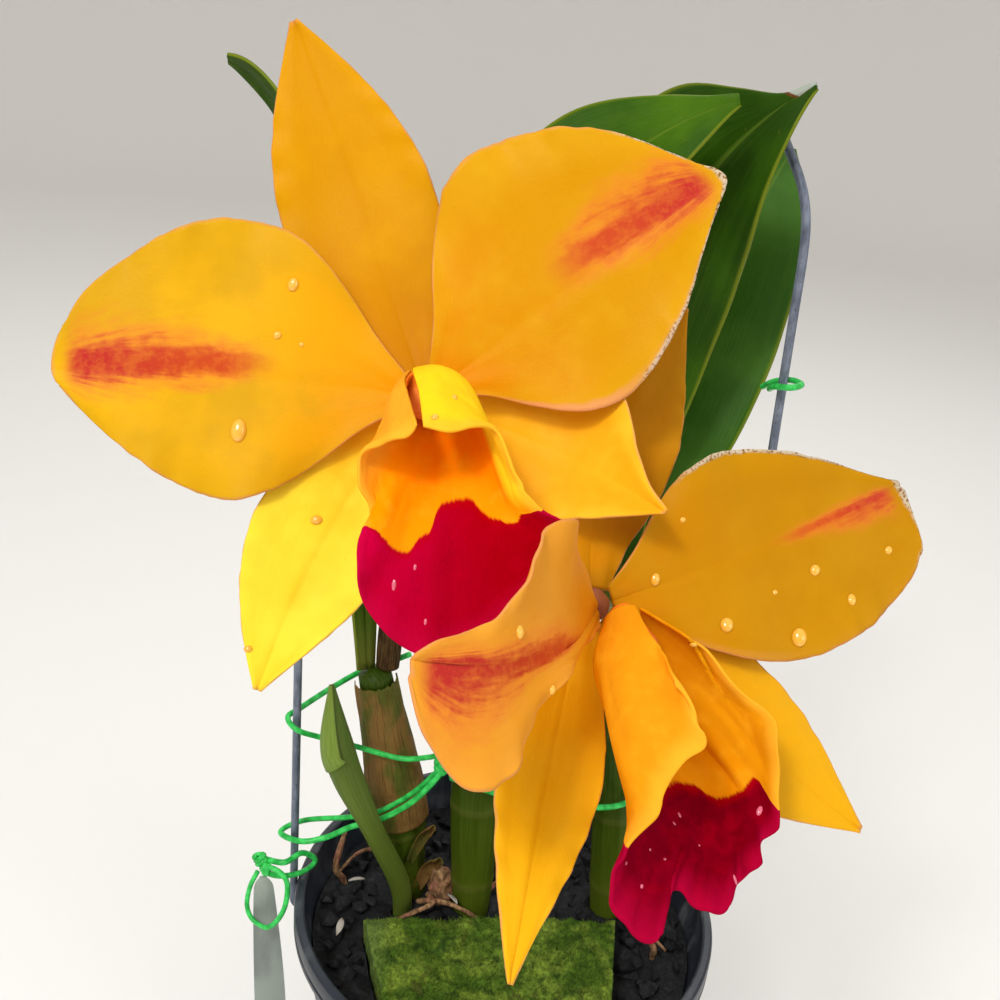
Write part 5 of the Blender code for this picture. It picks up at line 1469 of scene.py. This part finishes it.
for kind, (painted_drop_colour, drops) in DROPS.items():
    water = Finish(kind + "_water", Roughness=0.12, Specular_IOR_Level=0.8)
    ripple = water.cloud(0.6)
    water.relief(ripple, 0.01)
    # Painted highlight: ripples mix a little pale cream into each drop's colour.
    water.wear(water.blend(ripple, painted_drop_colour, water.blend(0.12, painted_drop_colour, tint(255, 240, 200))))
    points, faces = [], []
    for across, up, size, long in drops:
        ray = seen(across, up, 1000).normalized()
        hits = [tree.ray_cast(origin, ray) for tree in skins]
        hits = [hit for hit in hits if hit[0] is not None]
        if not hits:
            continue
        place, normal, _, _ = min(hits, key=lambda hit: hit[3])
        if normal.dot(ray) > 0:
            normal = -normal
        down = (Vector((0, 0, -1)) + normal * normal.z).normalized()
        level = normal.cross(down)
        first = len(points)
        for ring in range(DROP_RINGS):
            lift = math.radians(90 * ring / (DROP_RINGS - 1))
            for k in range(DROP_SIDES):
                angle = math.tau * k / DROP_SIDES
                reach = max(size / 2 * math.cos(lift) * (1 + 0.06 * math.cos(2 * angle + size)), 0.01)
                out = level * math.cos(angle) + down * math.sin(angle) * long
                points.append(place / MM + out * reach + normal * (size * 0.34 * math.sin(lift) - 0.05))
        for ring in range(DROP_RINGS - 1):
            for k in range(DROP_SIDES):
                a = first + ring * DROP_SIDES + k
                b = first + ring * DROP_SIDES + (k + 1) % DROP_SIDES
                faces.append((a, b, b + DROP_SIDES, a + DROP_SIDES))
        faces.append(tuple(first + k for k in reversed(range(DROP_SIDES))))
        faces.append(tuple(len(points) - DROP_SIDES + k for k in range(DROP_SIDES)))
    settle(mesh_piece(kind, water.surface, points, faces), kind.split("_")[0])

# The two support wires are grey painted steel. Each clips under the pot's rim and runs up; the
# right one turns in behind the leaves at its top.
STAKE_RADIUS = 1.2
STAKE_SIDES = 24
STAKE_OUT = RIM_RADIUS + STAKE_RADIUS + 0.3
HOOK = ((62.6, 92.9), (STAKE_OUT - 1.0, 93.0), (STAKE_OUT, 95.0), (STAKE_OUT, 100), (STAKE_OUT, 112))
LEFT_STAKE_TOP = 262.0
RIGHT_STAKE_ANGLE = 15.0
paint = Finish("wire_paint", Metallic=0.25)
scuff = paint.cloud(2.0, paint.place((1, 1, 0.3)), 3.0, 0.65)
spots = paint.fade(paint.cloud(0.9, None, 3.0), 0.62, 0.7)
paint.relief(scuff, 0.08)
steel = paint.blend(paint.fade(scuff, 0.35, 0.7), tint(88, 96, 112), tint(124, 132, 148))
paint.wear(paint.blend(paint.reckon("MULTIPLY", spots, 0.6), steel, tint(60, 54, 46)),
           paint.fade(scuff, 0.3, 0.7, 0.36, 0.55))
left = [(-r, 0, z) for r, z in HOOK] + [(-STAKE_OUT, 0, z) for z in (146, 180, 221, LEFT_STAKE_TOP)]
turn = math.radians(RIGHT_STAKE_ANGLE)
right = [(r * math.cos(turn), r * math.sin(turn), z) for r, z in HOOK]
right += [(61.6, 16.8, 166), (60.5, 16.8, 220), (58.9, 16.9, 265), (58.1, 17, 288), (57.6, 17.2, 303),
          (56.7, 18, 312), (54.6, 19.9, 319.6), (51, 23.3, 327), (47, 27, 334)]
for name, places in (("stake_left", left), ("stake_right", right)):
    path = smooth_path(places, 12)
    rod = rod_mesh(path, STAKE_RADIUS, STAKE_SIDES)
    settle(mesh_piece(name + "_wire", paint.surface, *rod), "wire", name)

# The ties are soft wire in a bright green plastic coat, bent by hand round the stems and wires
# and twisted shut. Their cut ends stand out.
TIE_RADIUS = 0.85
TIE_SIDES = 16
KNOT_SIDES = 14
OPEN_TIES = {
    "tie_upper": (
        (-47, -243, 302.5), (-57, -243, 303), (-60, -252, 303.6), (-51, -257, 304.3), (-45, -249, 305),
        (-54, -242, 305.8), (-68, -245, 307.5), (-95, -246, 309.5), (-136, -235, 309.5), (-171, -226, 306),
        (-193, -219, 301.5), (-202, -207, 304.5), (-190, -198, 307.5), (-159, -178, 314),
        (-130, -162, 318.8), (-110, -156, 319), (-86, -147, 313)),
    "tie_leaf": (
        (257, 106, 285), (262, 108, 277), (278, 107, 271.5), (287, 110, 275), (278, 114, 279.5),
        (262, 113, 284), (250, 108, 292)),
}
CLOSED_TIES = {
    "tie_lower": (
        (-55, -254, 311), (-83, -279, 313), (-116, -297, 315), (-143, -302, 317), (-186, -305, 324),
        (-209, -316, 321), (-190, -325, 315.7), (-165, -321, 315.6), (-141, -311, 314.6),
        (-114, -304, 313), (-83, -287, 310.5), (-58, -262, 308.4)),
    "tie_right": (
        (-46, -265, 306.4), (10, -283, 311), (76, -292, 313), (116, -290, 318), (141, -272, 333),
        (95, -250, 346), (-20, -226, 345), (-47, -238, 322)),
    "tie_label": (
        (-224, -342, 318), (-205, -345, 316), (-188.5, -336, 321), (-176, -343, 326), (-188, -354, 322),
        (-210, -358, 317), (-226, -352, 316.5)),
}
KNOTS = (  # middle, the way the coil runs, and its turns
    ((-54, -255, 303.4), (0.8, 0.55, 0.2), 2.6),
    ((-228, -342, 317.2), (0.35, -0.9, 0.2), 2.4),
    ((-222, -352, 316.6), (0.9, -0.2, -0.3), 1.6),
)
KNOT_STEPS = 14
KNOT_PITCH = 1.25
LOOP = (
    (-226, -348, 316.4), (-212, -353, 315), (-203, -364, 314.6), (-204, -384, 314.8), (-211, -399, 315.2),
    (-221, -407, 316.0), (-230, -404, 318.4), (-238, -396, 319.6), (-241, -384, 319.8), (-238, -368, 319.2),
    (-231, -354, 317.8))
coating = Finish("tie_coat", Coat_Weight=0.12, Coat_Roughness=0.2, Specular_IOR_Level=0.25)
mottle = coating.cloud(2.4, None, 3.0)
coating.relief(coating.cloud(0.7), 0.06)
coating.wear(coating.blend(coating.fade(mottle, 0.3, 0.7), tint(28, 160, 62), tint(64, 212, 98)),
             coating.fade(mottle, 0.3, 0.7, 0.28, 0.45))


def tie_outline(angle, share):
    """The flat moulded seam along a tie's coat."""
    return 1.0 + 0.05 * math.cos(2 * angle)


for name, places in (OPEN_TIES | CLOSED_TIES).items():
    closed = name in CLOSED_TIES
    path = [sighted(*place) for place in places]
    path = smooth_path([*path, path[0]], 10)[:-1] if closed else smooth_path(path, 10)
    rod = rod_mesh(path, TIE_RADIUS, TIE_SIDES, closed=closed, shape=tie_outline)
    settle(mesh_piece(name + "_wire", coating.surface, *rod), "tie", name)
knots = []
for middle, along, turns in KNOTS:
    middle = sighted(*middle)
    along = seen(*along).normalized()
    side = along.orthogonal().normalized()
    over = along.cross(side)
    coil = []
    for k in range(int(turns * KNOT_STEPS)):
        angle = math.tau * k / KNOT_STEPS
        wide = 1.15 + 0.3 * math.sin(k * 0.9)
        coil.append(middle + along * (KNOT_PITCH * (k / KNOT_STEPS - turns / 2))
                    + (side * math.cos(angle) + over * math.sin(angle)) * wide)
    knots.append(rod_mesh(coil, TIE_RADIUS * 0.95, KNOT_SIDES, shape=tie_outline))
loop = smooth_path([sighted(*place) for place in LOOP], 10)
knots.append(rod_mesh(loop, TIE_RADIUS * 0.9, KNOT_SIDES, shape=tie_outline))
settle(mesh_piece("tie_knots", coating.surface, *several(knots)), "tie")

# The plant label is a thin strip of grey plastic with a narrowed head, bare and a little bowed. It
# hangs outside the pot from the lowest tie.
LABEL_WIDTH = 6.4
LABEL_THICKNESS = 0.9
LABEL_LINE = ((-73.4, -7.1, 108.7), (-72.8, -7.2, 98), (-70.8, -7.6, 60), (-69.8, -8.0, 24))
LABEL_SHARES = ((0, 0.3), (0.06, 0.6), (0.3, 1.0), (0.94, 1.0), (1, 0.7))
LABEL_COLUMNS = 12
LABEL_BOW = 0.25
card = Finish("label_plastic", Coat_Weight=0.15, Coat_Roughness=0.3)
stain = card.cloud(9.0, card.place((1, 1, 0.4)), 3.0)
card.relief(card.cloud(0.6), 0.03)
card.wear(card.blend(card.fade(stain, 0.4, 0.7), tint(146, 156, 146), tint(120, 128, 122)),
          card.fade(stain, 0.3, 0.7, 0.4, 0.55))
across = Vector((0.94, 0.2, 0.0)).normalized()
middle = smooth_path(LABEL_LINE, 20)
grid = np.zeros((len(middle), LABEL_COLUMNS + 1, 3))
for row, place in enumerate(middle):
    share = row / (len(middle) - 1)
    for column in range(LABEL_COLUMNS + 1):
        t = 2 * column / LABEL_COLUMNS - 1
        bow = Vector((0.2, -0.94, 0)) * (-LABEL_BOW * t * t)
        reach = LABEL_WIDTH / 2 * smooth_stations(LABEL_SHARES, share)
        grid[row, column] = place + across * t * reach + bow
strip = mesh_piece("label_strip", card.surface, *sheet_mesh(grid, LABEL_THICKNESS, 0.8), soft=40)
settle(strip, "label", "label")

bpy.context.view_layer.update()
